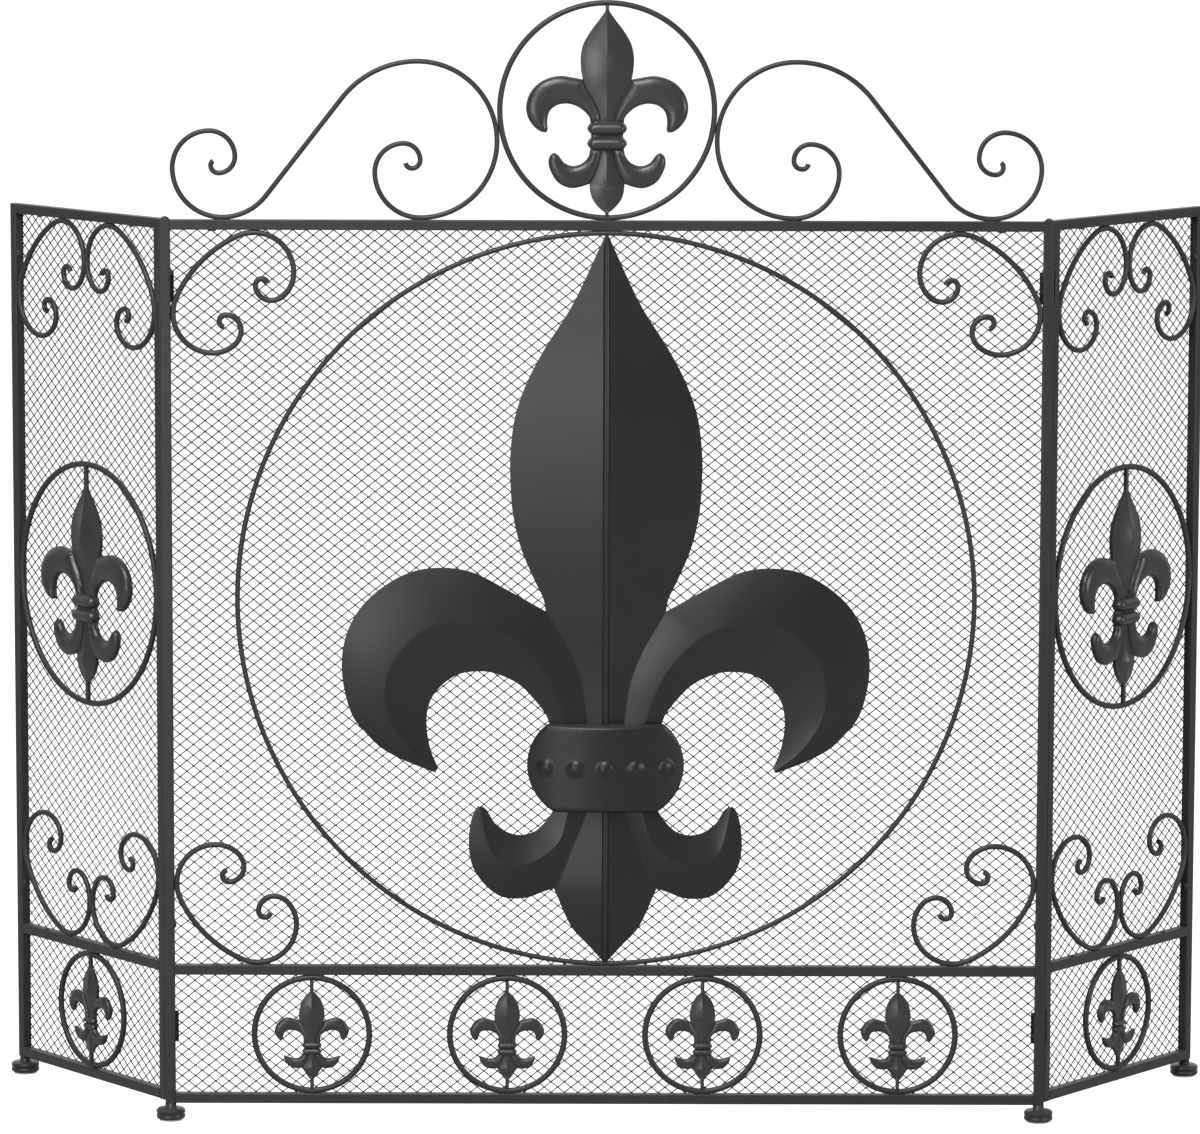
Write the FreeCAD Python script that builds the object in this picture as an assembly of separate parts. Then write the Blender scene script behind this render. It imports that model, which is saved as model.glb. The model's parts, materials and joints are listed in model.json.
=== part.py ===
import FreeCAD, Part
import math
import os

V = FreeCAD.Vector

# ---------------------------------------------------------------- driving sizes (mm)
CENTRE_WIDTH = 700.0       # centre panel, over its posts
WING_WIDTH = 214.0         # each wing, over its posts
FRAME_HEIGHT = 705.0       # every frame, bottom rail to top rail
FOOT_HEIGHT = 14.0         # floor to the underside of the frames
BAND_GAP = 96.0            # clear height between the bottom and middle rails
TUBE = 8.0                 # square tube of all frames
TUBE_WALL = 1.0
TUBE_ROUND = 0.9
WING_ANGLE = 51.5          # each wing, folded back from the centre panel's plane

BAND_RINGS = 4
BAND_ROD = 4.8             # band rings and wing rings
MEDALLION_ROD = 4.0
SCROLL_ROD = 4.4
CREST_OD = 172.0
CREST_ROD = 4.4
CREST_SCROLL_ROD = 4.0
WELD = 0.1                 # how far a welded rod sinks into what it touches

MESH_THICK = 0.9
MESH_INSET = 0.2           # mesh panel's back, in front of the frame's back

HINGE_HEIGHT = 25.0
HINGE_KNUCKLES = 5
HINGE_FROM_ENDS = (61.0, 53.0)   # hinge centres above the frame's bottom, below its top
KNUCKLE_RADIUS = 1.5
PIN_RADIUS = 0.8
PIN_CLEARANCE = 0.05
LEAF_THICK = 1.0
LEAF_REACH = 10.5
KNUCKLE_GAP = 0.1          # between neighbouring knuckles
KNUCKLE_CLEAR = 0.2        # around a knuckle, in the other leaf
PIN_HEAD_THICK = 0.9
PIN_HEAD_INSET = 0.1       # head's edge inside the knuckle's
PIN_OUT = 1.7              # pin axis outside the centre post

FOOT_RADIUS = 11.4
FOOT_NECK = 4.4
FOOT_DISC_TOP = 9.3
FOOT_GROOVE = 0.9          # groove round the disc: depth and half width
FOOT_BEVEL = 1.2           # bevels of the disc's top edge and round the neck
GLIDE_RADIUS = 9.0
GLIDE_THICK = 1.2
CAP_WIDTH = 7.4
CAP_HEIGHT = 2.5

SHEET = 1.2                # pressed medallion sheet
RIDGE_SLOPE = 14.0 / 76.0  # rise of a pressed blade per mm of half width
COLLAR_RISE = 15.0
BEAD_RADIUS = 7.0
BEAD_RISE = 2.5

FLEUR_BACK = 2.5           # cast ornaments: back and front of the plate
FLEUR_FRONT = -0.5
FLEUR_RIDGE = 2.5          # rise of the blade's ridge
SMALL_FRONT = 0.0
SMALL_RIDGE = 1.5
BLADE_INSET = 0.7          # raised blade inside the casting's outline
BLADE_SINK = 0.4           # foot of the raised blade below the plate's face
BLADE_BACK = 0.3           # its back in front of the plate's back
BLADE_TIP = 0.4            # least half width of the raised blade
BEAD_SET = 1.5             # collar bead's axis behind the plate's face
STEM_WIDTH = 2.9           # stem from a casting's tip to its ring
STEM_DEPTH = 1.9
STEM_FRONT = 0.3
STEM_LAP = 3.0             # stem's overlap with the casting
STEM_SINK = 0.4            # and with the ring's rod

# ---------------------------------------------------------------- tied sizes
BOTTOM = FOOT_HEIGHT
TOP = FOOT_HEIGHT + FRAME_HEIGHT
BAND_LOW = BOTTOM + TUBE
BAND_HIGH = BAND_LOW + BAND_GAP
PANEL_LOW = BAND_HIGH + TUBE
PANEL_HIGH = TOP - TUBE
BAND_MID = (BAND_LOW + BAND_HIGH) / 2
PANEL_MID = (PANEL_LOW + PANEL_HIGH) / 2
CENTRE_CLEAR = CENTRE_WIDTH - 2 * TUBE
WING_CLEAR = WING_WIDTH - 2 * TUBE
MEDALLION_OD = min(PANEL_HIGH - PANEL_LOW, CENTRE_CLEAR)
WING_RING_OD = min(WING_CLEAR, 0.5 * (PANEL_HIGH - PANEL_LOW))
BAND_OD = BAND_GAP
BAND_PITCH = CENTRE_CLEAR / (BAND_RINGS + 0.4)
PIN_X = CENTRE_WIDTH / 2 + PIN_OUT
PIN_Y = TUBE + KNUCKLE_RADIUS
MESH_FRONT = TUBE - MESH_THICK - MESH_INSET
WING_S = KNUCKLE_RADIUS                # wing's inner face from the pin, along the wing
WING_B = PIN_OUT                       # wing's front face behind the pin
SWING = math.radians(WING_ANGLE)
SCROLL_SIZE = 98.6                     # reach of the corner scroll drawn below
SCROLL_DIAGONAL = 155.0                # corner gap that the scroll drawn below needs
WING_SCROLL_SCALE = WING_CLEAR / 2 / SCROLL_SIZE
CORNER_GAP = math.hypot(CENTRE_CLEAR, PANEL_HIGH - PANEL_LOW) / 2 - MEDALLION_OD / 2
CENTRE_SCROLL_SCALE = min(WING_SCROLL_SCALE, CORNER_GAP / SCROLL_DIAGONAL)
CREST_Z = TOP + CREST_OD / 2 - WELD
CREST_SPAN = 264.0                     # from crest ring to panel's end, as the scroll is drawn
CREST_SCROLL_SCALE = (CENTRE_WIDTH / 2 - CREST_OD / 2) / CREST_SPAN
MEDALLION_REACH = 288.5                # half height of the medallion drawn below
MEDALLION_SCALE = (MEDALLION_OD / 2 - MEDALLION_ROD) / MEDALLION_REACH
LARGE_RING = 81.6                      # inner radius of the ring round the large fleur drawn below
SMALL_RING = 43.2                      # and round the small one

# ---------------------------------------------------------------- ornament drawings
# A run is a smooth curve through its points, or a straight edge for two points.
# Drawings give the right half, from the top down, about the ornament's ring centre.

# Corner scroll from the middle of its back: (radius, turn in degrees).
C_SCROLL = [(98, 20), (31, 115), (25, 45), (15, 45), (12, 90), (5, 90), (4.5, 80)]

# Crest scroll: outward branch after the long straight, and the inner coil.
S_OUTER_COIL = [(43.8, 52), (38.5, 90), (29, 90), (20, 90), (13, 90), (6, 90), (4, 60)]
S_INNER_COIL = [(35.5, 90), (22.5, 90), (13, 90), (6.5, 90), (5, 80)]
S_SHOULDER = [(60, 90), (62, 90), (75, 52)]

LARGE_FLEUR = [
    [(0, 79.6), (6.4, 70.6), (13.2, 61.6), (18.8, 51.5), (20.8, 41.4), (20.5, 32.4), (19.1, 24.3)],
    [(19.1, 24.3), (27.8, 25.9), (35.6, 27), (44.6, 25.6), (53.6, 21.1), (60.4, 13.3), (63.2, 4.3),
     (62.1, -4.7), (57, -12.6), (51.4, -16.5), (47.4, -17.1)],
    [(47.4, -17.1), (46.3, -14.8)],
    [(46.3, -14.8), (46.7, -8.1), (45.2, -1.3), (40.1, 3.7), (32.3, 5.4), (24.4, 3.7), (17.7, -0.8),
     (13.7, -5.8)],
    [(13.7, -5.8), (13.2, -8.6)],
    [(13.2, -8.6), (13.2, -30.6)],
    [(13.2, -30.6), (14.3, -35.1), (18.8, -40.7), (26.6, -43.2), (33.4, -40.7), (37.9, -35.1),
     (41.3, -32.8)],
    [(41.3, -32.8), (44.6, -35.1), (45.8, -40.7), (43.5, -48.6), (37.9, -56.4), (28.9, -60.4),
     (21, -59.6), (13.7, -57.2)],
    [(13.7, -57.2), (13.2, -63.2), (10.9, -69.9), (6.4, -75.5), (2.5, -78.9), (0, -80)],
]
LARGE_BEADS = (15.4, 5.1, (-13.7, -25.5))        # half width, radius, heights
LARGE_BLADE = [(78, 1.4), (70.6, 6.4), (61.6, 13.2), (51.5, 18.8), (41.4, 20.8), (32.4, 20.5),
               (24.3, 19.1), (8, 11), (-8, 7)]

SMALL_FLEUR = [
    [(0, 35.5), (4.3, 31.9), (8.2, 26), (9.9, 19.4), (10.2, 14.2), (9.5, 10.9)],
    [(9.5, 10.9), (15.5, 12.8), (20.1, 13.5), (24.7, 11.5), (28, 7.6), (29.6, 3), (28, -1.7),
     (25.3, -4.9)],
    [(25.3, -4.9), (23, -3)],
    [(23, -3), (22.4, -0.3), (20.7, 2.6), (16.1, 3.6), (10.9, 2.3), (7.2, -1)],
    [(7.2, -1), (6.6, -6.3)],
    [(6.6, -6.3), (6.6, -15.5)],
    [(6.6, -15.5), (10.2, -18.8), (14.8, -19.4), (19.4, -18.1), (22.4, -17.1)],
    [(22.4, -17.1), (21.4, -21.4), (17.4, -26), (12.8, -27.3), (8.2, -27)],
    [(8.2, -27), (6.9, -28.6), (4.3, -32.6), (1.6, -35.9), (0, -36.5)],
]
SMALL_BEADS = (7.6, 2.4, (-8.7, -13.7))
SMALL_BLADE = [(34, 1.2), (31, 4.6), (26, 8.2), (19.4, 9.9), (14.2, 10.2), (10.9, 9.5), (4, 6),
               (-4, 4)]

# Pressed medallion: blade rows are (height, half width); curls are edge, crease and inner runs.
BLADE_TOP = [(289.5, 1), (234, 27), (199, 49), (172, 63), (145, 72), (115, 75.5), (98, 75.5),
             (70, 73.5), (42, 67), (18, 57), (1, 49), (-8, 47.5)]
BLADE_NECK = [(-8, 47.5), (-41.5, 28.4), (-65, 19.6), (-94, 15.2), (-108, 13.5)]
BLADE_LOWER_NECK = [(-160, 14), (-169, 15.7), (-200, 28.5), (-230, 40.8)]
BLADE_FOOT = [(-230, 40.8), (-262, 26), (-276, 13), (-289.5, 1)]

CURL_EDGE = [(47.5, -8), (78, 9), (103, 22), (120, 26), (143, 25.5), (161, 20), (181, 7), (193, -5),
             (203, -22), (208, -42), (207.5, -65), (200, -92), (190, -105), (178, -117), (160, -127),
             (140, -135), (134.5, -137)]
CURL_CREASE_A = [(27, -108, 3), (32.8, -93, 4), (40.2, -71, 5), (53.4, -49, 6), (72.5, -30, 7.5)]
CURL_CREASE_B = [(72.5, -30, 7.5), (94.5, -19, 8), (116.5, -16.5, 8), (137, -19, 8), (156, -33, 8),
                 (169, -50, 7.5), (174, -71, 6.5), (171, -93, 5), (162, -109, 4), (149, -124, 2.5),
                 (133.5, -135, 0.6)]
CURL_INNER_A = [(41, -108), (44, -99), (47, -91), (55, -80), (69, -66)]
CURL_INNER_B = [(69, -66), (86, -58), (97, -56), (115, -58), (127, -65), (136, -75), (140, -84),
                (141.5, -95), (141, -105), (138, -120), (132.5, -133)]

ROOT_EDGE = [(40.8, -230), (50, -233), (62, -237.5), (80, -237.5), (89, -233), (99, -223),
             (105, -213), (108, -200), (107.5, -182), (104, -168), (100.5, -163.5)]
ROOT_CREASE_A = [(27, -160, 2), (30, -170, 3), (36, -190.5, 4), (48.7, -203, 5)]
ROOT_CREASE_B = [(48.7, -203, 5), (61, -209, 5), (77, -209, 4.5), (88, -203, 3.5), (94, -190.5, 2.5),
                 (99, -165, 0.6)]
ROOT_INNER_A = [(40, -160), (42, -168), (52, -181), (58, -185)]
ROOT_INNER_B = [(58, -185), (68, -187), (78, -184.5), (87, -178), (94, -167), (97.5, -164)]

COLLAR_TOP = (46.0, -97.5)
COLLAR_MID = (62.0, -133.0)
COLLAR_LOW = (41.0, -167.0)
BEAD_ROW = (-132.0, (-48.0, -24.0, 0.0, 24.0, 48.0))


# ---------------------------------------------------------------- frames and rods
def one(shape):
    """The single solid of a boolean result, or the result itself when it holds several."""
    solids = shape.Solids
    return solids[0] if len(solids) == 1 else Part.makeCompound(solids)


def tube(x0, z0, x1, z1, mitres=()):
    """Square tube filling the rectangle x0..x1, z0..z1 from y=0 back; mitres are (corner x,
    corner z, direction of the kept side) for ends cut at 45 degrees."""
    upright = (z1 - z0) > (x1 - x0)
    outer = Part.makeBox(x1 - x0, TUBE, z1 - z0, V(x0, 0, z0))
    axis = 2 if upright else 0
    long_edges = [e for e in outer.Edges
                  if abs(e.tangentAt(e.FirstParameter)[axis]) > 0.9]
    outer = outer.makeFillet(TUBE_ROUND, long_edges)
    w = TUBE_WALL
    if upright:
        bore = Part.makeBox(x1 - x0 - 2 * w, TUBE - 2 * w, z1 - z0 + 2, V(x0 + w, w, z0 - 1))
    else:
        bore = Part.makeBox(x1 - x0 + 2, TUBE - 2 * w, z1 - z0 - 2 * w, V(x0 - 1, w, z0 + w))
    shape = outer.cut(bore)
    for cx, cz, kx, kz in mitres:
        # drop the half beyond the diagonal through the outer corner (cx, cz)
        big = 3 * TUBE
        face = Part.Face(Part.makePolygon([V(cx, -1, cz), V(cx + kx * big, -1, cz),
                                           V(cx + kx * big, -1, cz + kz * big), V(cx, -1, cz)]))
        shape = shape.cut(face.extrude(V(0, TUBE + 2, 0)))
    return one(shape)


def ring(x, z, outside, rod):
    """Round rod bent to a ring, its front level with the frame."""
    return Part.makeTorus(outside / 2 - rod / 2, rod / 2, V(x, rod / 2, z), V(0, 1, 0))


def chain(x, z, heading, steps, y):
    """Edges of a run of tangent arcs in the plane y, with where and how it ends. A step is
    (radius, turn), to the left when the turn is positive, or (0, length) for a straight."""
    edges = []
    for radius, turn in steps:
        if radius == 0:
            nx, nz = x + turn * math.cos(heading), z + turn * math.sin(heading)
            edges.append(Part.makeLine(V(x, y, z), V(nx, y, nz)))
            x, z = nx, nz
            continue
        side = 1 if turn > 0 else -1
        cx = x - side * radius * math.sin(heading)
        cz = z + side * radius * math.cos(heading)
        angle = math.radians(turn)
        stops = [V(cx + side * radius * math.sin(heading + t * angle), y,
                   cz - side * radius * math.cos(heading + t * angle)) for t in (0, 0.5, 1)]
        edges.append(Part.Arc(*stops).toShape())
        x, z, heading = stops[2].x, stops[2].z, heading + angle
    return edges, x, z, heading


def bent_rod(x, z, heading, ahead, behind, rod):
    """Round rod along two branches that leave the point (x, z) in opposite directions."""
    y = rod / 2
    _, sx, sz, back = chain(x, z, heading + math.pi, behind, y)
    steps = [(r, t if r == 0 else -t) for r, t in reversed(behind)] + list(ahead)
    start = back + math.pi
    edges = chain(sx, sz, start, steps, y)[0]
    section = Part.Circle(V(sx, y, sz), V(math.cos(start), 0, math.sin(start)), rod / 2)
    return one(Part.Wire(edges).makePipeShell([Part.Wire(section.toShape())], True, False))


def corner_scroll(x, z, right, up, scale):
    """C-scroll in the inner corner (x, z) of an opening; right and up (+1 or -1) point into
    the opening."""
    rod = SCROLL_ROD
    arc = [(r * scale, t) for r, t in C_SCROLL]
    near = (rod / 2 - WELD + arc[0][0] * (math.cos(math.radians(25)) - math.cos(math.radians(45)))
            + arc[1][0] * (1 - math.cos(math.radians(25))))
    ahead = [(r, -t) for r, t in arc]
    behind = [(r, t) for r, t in arc]
    shape = bent_rod(near, -near, math.radians(45), ahead, behind, rod)
    if right < 0:
        shape = shape.mirror(V(0, 0, 0), V(1, 0, 0))
    if up > 0:
        shape = shape.mirror(V(0, 0, 0), V(0, 0, 1))
    shape.translate(V(x, 0, z))
    return shape


def crest_scroll():
    """S-scroll on the left of the crest: stands on the top rail and leans on the crest ring."""
    k = CREST_SCROLL_SCALE
    rod = CREST_SCROLL_ROD
    stand = TOP + rod / 2 - WELD
    shoulder = [(r * k, t) for r, t in S_SHOULDER]
    side = shoulder[1][0]
    reach = CREST_OD / 2 + side + rod / 2 - WELD
    rise = CREST_Z - (stand + shoulder[0][0])
    centre_x = -math.sqrt(reach ** 2 - rise ** 2)
    start_x = centre_x + side - shoulder[0][0]
    _, _, high, heading = chain(start_x, stand, 0, shoulder, 0)
    drop = high - stand - S_OUTER_COIL[0][0] * k * (1 - math.cos(math.radians(S_OUTER_COIL[0][1])))
    straight = drop / -math.sin(heading)
    ahead = shoulder + [(0, straight)] + [(r * k, -t) for r, t in S_OUTER_COIL]
    behind = [(r * k, -t) for r, t in S_INNER_COIL]
    return bent_rod(start_x, stand, 0, ahead, behind, rod)


# ---------------------------------------------------------------- castings and pressings
def run_edge(points, cx, cz, y, side=1):
    """One drawing run as an edge."""
    stops = [V(cx + side * p[0], y, cz + p[1]) for p in points]
    if len(stops) == 2:
        return Part.makeLine(*stops)
    curve = Part.BSplineCurve()
    curve.interpolate(stops)
    return curve.toShape()


def plate(runs, cx, cz, front, back):
    """Symmetric plate from the right half of its outline."""
    edges = [run_edge(run, cx, cz, front, side) for side in (1, -1) for run in runs]
    wire = Part.Wire(Part.sortEdges(edges)[0])
    return Part.Face(wire).extrude(V(0, back - front, 0))


def guided(points, params):
    """Smooth curve through points at given parameters."""
    curve = Part.BSplineCurve()
    curve.interpolate(Points=points, Parameters=params)
    return curve.toShape()


def ridged(rows, cx, cz, edge_y, slope, thick, scale=1.0):
    """Sheet folded along x=0: rows are (height, half width), highest in front at the ridge."""
    params = [0.0]
    for a, b in zip(rows, rows[1:]):
        params.append(params[-1] + math.hypot(b[0] - a[0], b[1] - a[1]))
    ridge = guided([V(cx, edge_y - slope * w * scale, cz + z * scale) for z, w in rows], params)
    halves = []
    for side in (1, -1):
        edge = guided([V(cx + side * w * scale, edge_y, cz + z * scale) for z, w in rows], params)
        halves.append(Part.makeRuledSurface(edge, ridge).extrude(V(0, thick, 0)))
    return halves


def fleur(runs, beads, blade, cx, cz, ring_inside, front, ridge, scale):
    """Cast fleur-de-lis: plate, ridged blade, two collar beads and stems to its ring."""
    runs = [[(x * scale, z * scale) for x, z in run] for run in runs]
    tip, root = runs[0][0][1], runs[-1][-1][1]
    parts = [plate(runs, cx, cz, front, FLEUR_BACK)]
    rows = [(z * scale, max(w * scale - BLADE_INSET, BLADE_TIP)) for z, w in blade]
    widest = max(w for _, w in rows)
    foot_y = front + BLADE_SINK
    parts += ridged(rows, cx, cz, foot_y, (ridge + BLADE_SINK) / widest,
                    FLEUR_BACK - foot_y - BLADE_BACK)
    half, radius, heights = beads[0] * scale, beads[1] * scale, beads[2]
    for z in heights:
        mid = cz + z * scale
        bead = Part.makeCylinder(radius, 2 * half, V(cx - half, front + BEAD_SET, mid), V(1, 0, 0))
        behind = Part.makeBox(2 * half, 4 * radius, 4 * radius,
                              V(cx - half, FLEUR_BACK, mid - 2 * radius))
        parts.append(bead.cut(behind))
    reach = ring_inside + STEM_SINK
    for start, end in ((tip - STEM_LAP, reach), (-reach, root + STEM_LAP)):
        parts.append(Part.makeBox(STEM_WIDTH, STEM_DEPTH, end - start,
                                  V(cx - STEM_WIDTH / 2, STEM_FRONT, cz + start)))
    return one(parts[0].multiFuse(parts[1:]))


def large_fleur(cx, cz, ring_inside):
    """Large casting, drawn smaller where its ring is smaller."""
    return fleur(LARGE_FLEUR, LARGE_BEADS, LARGE_BLADE, cx, cz, ring_inside, FLEUR_FRONT,
                 FLEUR_RIDGE, min(1.0, ring_inside / LARGE_RING))


def small_fleur(cx):
    """Small casting of the lower band, as large as its ring allows."""
    inside = BAND_OD / 2 - BAND_ROD
    return fleur(SMALL_FLEUR, SMALL_BEADS, SMALL_BLADE, cx, BAND_MID, inside, SMALL_FRONT,
                 SMALL_RIDGE, inside / SMALL_RING)


def strip(edge, crease):
    """Pressed sheet between two curves."""
    return Part.makeRuledSurface(edge, crease).extrude(V(0, SHEET, 0))


def medallion_fleur(cz):
    """Large pressed fleur-de-lis, folded along its blades and curls."""
    scale = MEDALLION_SCALE

    def curve(points, side):
        """Run in 3-D; a third figure is the rise of the sheet in front of its edges."""
        stops = [V(side * p[0] * scale, -(p[2] if len(p) > 2 else 0) * scale, cz + p[1] * scale)
                 for p in points]
        line = Part.BSplineCurve()
        line.interpolate(stops)
        return line.toShape()

    parts = []
    for rows in (BLADE_TOP, BLADE_NECK, BLADE_LOWER_NECK, BLADE_FOOT):
        parts += ridged(rows, 0, cz, 0.0, RIDGE_SLOPE, SHEET, scale)
    for side in (1, -1):
        for neck, edge, crease_a, crease_b, inner_a, inner_b in (
                (BLADE_NECK, CURL_EDGE, CURL_CREASE_A, CURL_CREASE_B, CURL_INNER_A, CURL_INNER_B),
                (BLADE_LOWER_NECK, ROOT_EDGE, ROOT_CREASE_A, ROOT_CREASE_B, ROOT_INNER_A,
                 ROOT_INNER_B)):
            params = [0.0]
            for a, b in zip(neck, neck[1:]):
                params.append(params[-1] + math.hypot(b[0] - a[0], b[1] - a[1]))
            fold = guided([V(side * w * scale, 0, cz + z * scale) for z, w in neck], params)
            near, far = curve(crease_a, side), curve(crease_b, side)
            if edge is CURL_EDGE:
                near = curve(list(reversed(crease_a)), side)
            inner = curve(list(reversed(inner_a)) if edge is CURL_EDGE else inner_a, side)
            parts.append(strip(fold, near))
            parts.append(strip(near, inner))
            parts.append(strip(curve(edge, side), far))
            parts.append(strip(far, curve(inner_b, side)))
    parts.append(collar_block(cz, SHEET / 2, 0.0, SHEET))
    return one(parts[0].multiFuse(parts[1:]))


def collar_block(cz, inset, front, depth):
    """Prism with the collar's barrel outline, drawn in by inset."""
    scale = MEDALLION_SCALE
    stops = []
    for (x, z), trim in ((COLLAR_TOP, -inset), (COLLAR_MID, 0.0), (COLLAR_LOW, inset)):
        stops.append((x * scale - inset, front, cz + z * scale + trim))
    right = [V(*stop) for stop in stops]
    left = [V(-x, y, z) for x, y, z in reversed(stops)]
    edges = [Part.Arc(*right).toShape(), Part.makeLine(right[2], left[0]),
             Part.Arc(*left).toShape(), Part.makeLine(left[2], right[0])]
    return Part.Face(Part.Wire(edges)).extrude(V(0, depth, 0))


def medallion_collar(cz):
    """Domed collar over the medallion's waist, open at the back, with a row of beads."""
    scale = MEDALLION_SCALE
    rise, half = COLLAR_RISE * scale, COLLAR_MID[0] * scale
    radius = (rise ** 2 + half ** 2) / (2 * rise)
    axis_y = radius - rise
    low, high = cz + COLLAR_LOW[1] * scale - TUBE, cz + COLLAR_TOP[1] * scale + TUBE

    def drum(r):
        """Round bar whose front is the collar's dome."""
        return Part.makeCylinder(r, high - low, V(0, axis_y, low), V(0, 0, 1))

    body = collar_block(cz, 0.0, -rise - 1, rise + 1).common(drum(radius))
    behind = Part.makeBox(4 * half, 4 * half, high - low, V(-2 * half, 0, low))
    cap = BEAD_RADIUS * scale
    out = BEAD_RISE * scale
    ball = (cap ** 2 + out ** 2) / (2 * out)
    for x in BEAD_ROW[1]:
        turn = math.asin(x * scale / radius)
        reach = radius + out - ball
        centre = V(reach * math.sin(turn), axis_y - reach * math.cos(turn), cz + BEAD_ROW[0] * scale)
        body = body.fuse(Part.makeSphere(ball, centre).cut(behind))
    hollow = collar_block(cz, SHEET, -rise - 1, rise + 2).common(drum(radius - SHEET))
    return one(body.cut(hollow))


# ---------------------------------------------------------------- feet, caps and hinges
def foot(x, y):
    """Turned foot: grooved disc under a short neck."""
    r, g, top = FOOT_RADIUS, GLIDE_THICK, FOOT_DISC_TOP
    mid = (g + top) / 2
    cut, bevel, neck = FOOT_GROOVE, FOOT_BEVEL, FOOT_NECK
    profile = [(0, g), (r - bevel, g), (r, g + bevel), (r, mid - cut), (r - cut, mid), (r, mid + cut),
               (r, top - bevel), (r - bevel, top), (neck + bevel, top), (neck, top + bevel),
               (neck, FOOT_HEIGHT), (0, FOOT_HEIGHT), (0, g)]
    face = Part.Face(Part.makePolygon([V(px, 0, pz) for px, pz in profile]))
    shape = face.revolve(V(0, 0, 0), V(0, 0, 1), 360)
    shape.translate(V(x, y, 0))
    return one(shape)


def glide(x, y):
    """Flat glide pad under a foot."""
    return Part.makeCylinder(GLIDE_RADIUS, GLIDE_THICK, V(x, y, 0))


def post_cap(x):
    """Low domed cap on a centre post."""
    w, y = CAP_WIDTH, TUBE / 2
    ball = (w * w / 4 + CAP_HEIGHT ** 2) / (2 * CAP_HEIGHT)
    dome = Part.makeSphere(ball, V(x, y, TOP + CAP_HEIGHT - ball))
    return one(dome.common(Part.makeCylinder(w, CAP_HEIGHT + 1, V(x, y, TOP))))


def hinge_centres():
    """Heights of the two hinges' middles."""
    return (BOTTOM + HINGE_FROM_ENDS[0], TOP - HINGE_FROM_ENDS[1])


def knuckles(mid, first, leaf):
    """One leaf of a butt hinge about the origin: its knuckles are every second one from first;
    the leaf is cleared around the other leaf's knuckles."""
    step = HINGE_HEIGHT / HINGE_KNUCKLES
    low = mid - HINGE_HEIGHT / 2
    shape = leaf
    mine, others = [], []
    for i in range(HINGE_KNUCKLES):
        z = low + i * step
        if i % 2 == first:
            gap0 = 0 if i == 0 else KNUCKLE_GAP / 2
            gap1 = 0 if i == HINGE_KNUCKLES - 1 else KNUCKLE_GAP / 2
            mine.append(Part.makeCylinder(KNUCKLE_RADIUS, step - gap0 - gap1, V(0, 0, z + gap0)))
        else:
            others.append(Part.makeCylinder(KNUCKLE_RADIUS + KNUCKLE_CLEAR, step + KNUCKLE_GAP,
                                            V(0, 0, z - KNUCKLE_GAP / 2)))
    shape = shape.multiFuse(mine)
    for clear in others:
        shape = shape.cut(clear)
    bore = Part.makeCylinder(PIN_RADIUS + PIN_CLEARANCE, HINGE_HEIGHT + 4, V(0, 0, low - 2))
    return one(shape.cut(bore))


def centre_leaf(mid):
    """Leaf on the back of the right centre post, placed at its pin."""
    low = mid - HINGE_HEIGHT / 2
    leaf = Part.makeBox(PIN_OUT + LEAF_REACH, LEAF_THICK, HINGE_HEIGHT,
                        V(-PIN_OUT - LEAF_REACH, -KNUCKLE_RADIUS, low))
    shape = knuckles(mid, 0, leaf)
    shape.translate(V(PIN_X, PIN_Y, 0))
    return shape


def wing_leaf(mid):
    """Leaf on the inner edge of a wing, about its pin."""
    low = mid - HINGE_HEIGHT / 2
    leaf = Part.makeBox(LEAF_THICK, LEAF_REACH, HINGE_HEIGHT,
                        V(KNUCKLE_RADIUS - LEAF_THICK, 0, low))
    return knuckles(mid, 1, leaf)


def hinge_pin(mid):
    """Headed pin through one hinge."""
    low = mid - HINGE_HEIGHT / 2
    shaft = Part.makeCylinder(PIN_RADIUS, HINGE_HEIGHT + PIN_HEAD_THICK / 2, V(0, 0, low))
    head = Part.makeCylinder(KNUCKLE_RADIUS - PIN_HEAD_INSET, PIN_HEAD_THICK,
                             V(0, 0, low + HINGE_HEIGHT))
    shape = one(shaft.fuse(head))
    shape.translate(V(PIN_X, PIN_Y, 0))
    return shape


# ---------------------------------------------------------------- centre panel
FLIP = (V(0, 0, 0), V(1, 0, 0))


def both(shape):
    """A shape and its mirror image on the other side of the screen, as one node."""
    return Part.makeCompound(shape.Solids + shape.mirror(*FLIP).Solids)


def mesh(x0, x1):
    """Mesh panels of the upper and lower openings of one frame."""
    return Part.makeCompound([
        Part.makeBox(x1 - x0, MESH_THICK, high - low, V(x0, MESH_FRONT, low))
        for low, high in ((BAND_LOW, BAND_HIGH), (PANEL_LOW, PANEL_HIGH))])


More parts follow.
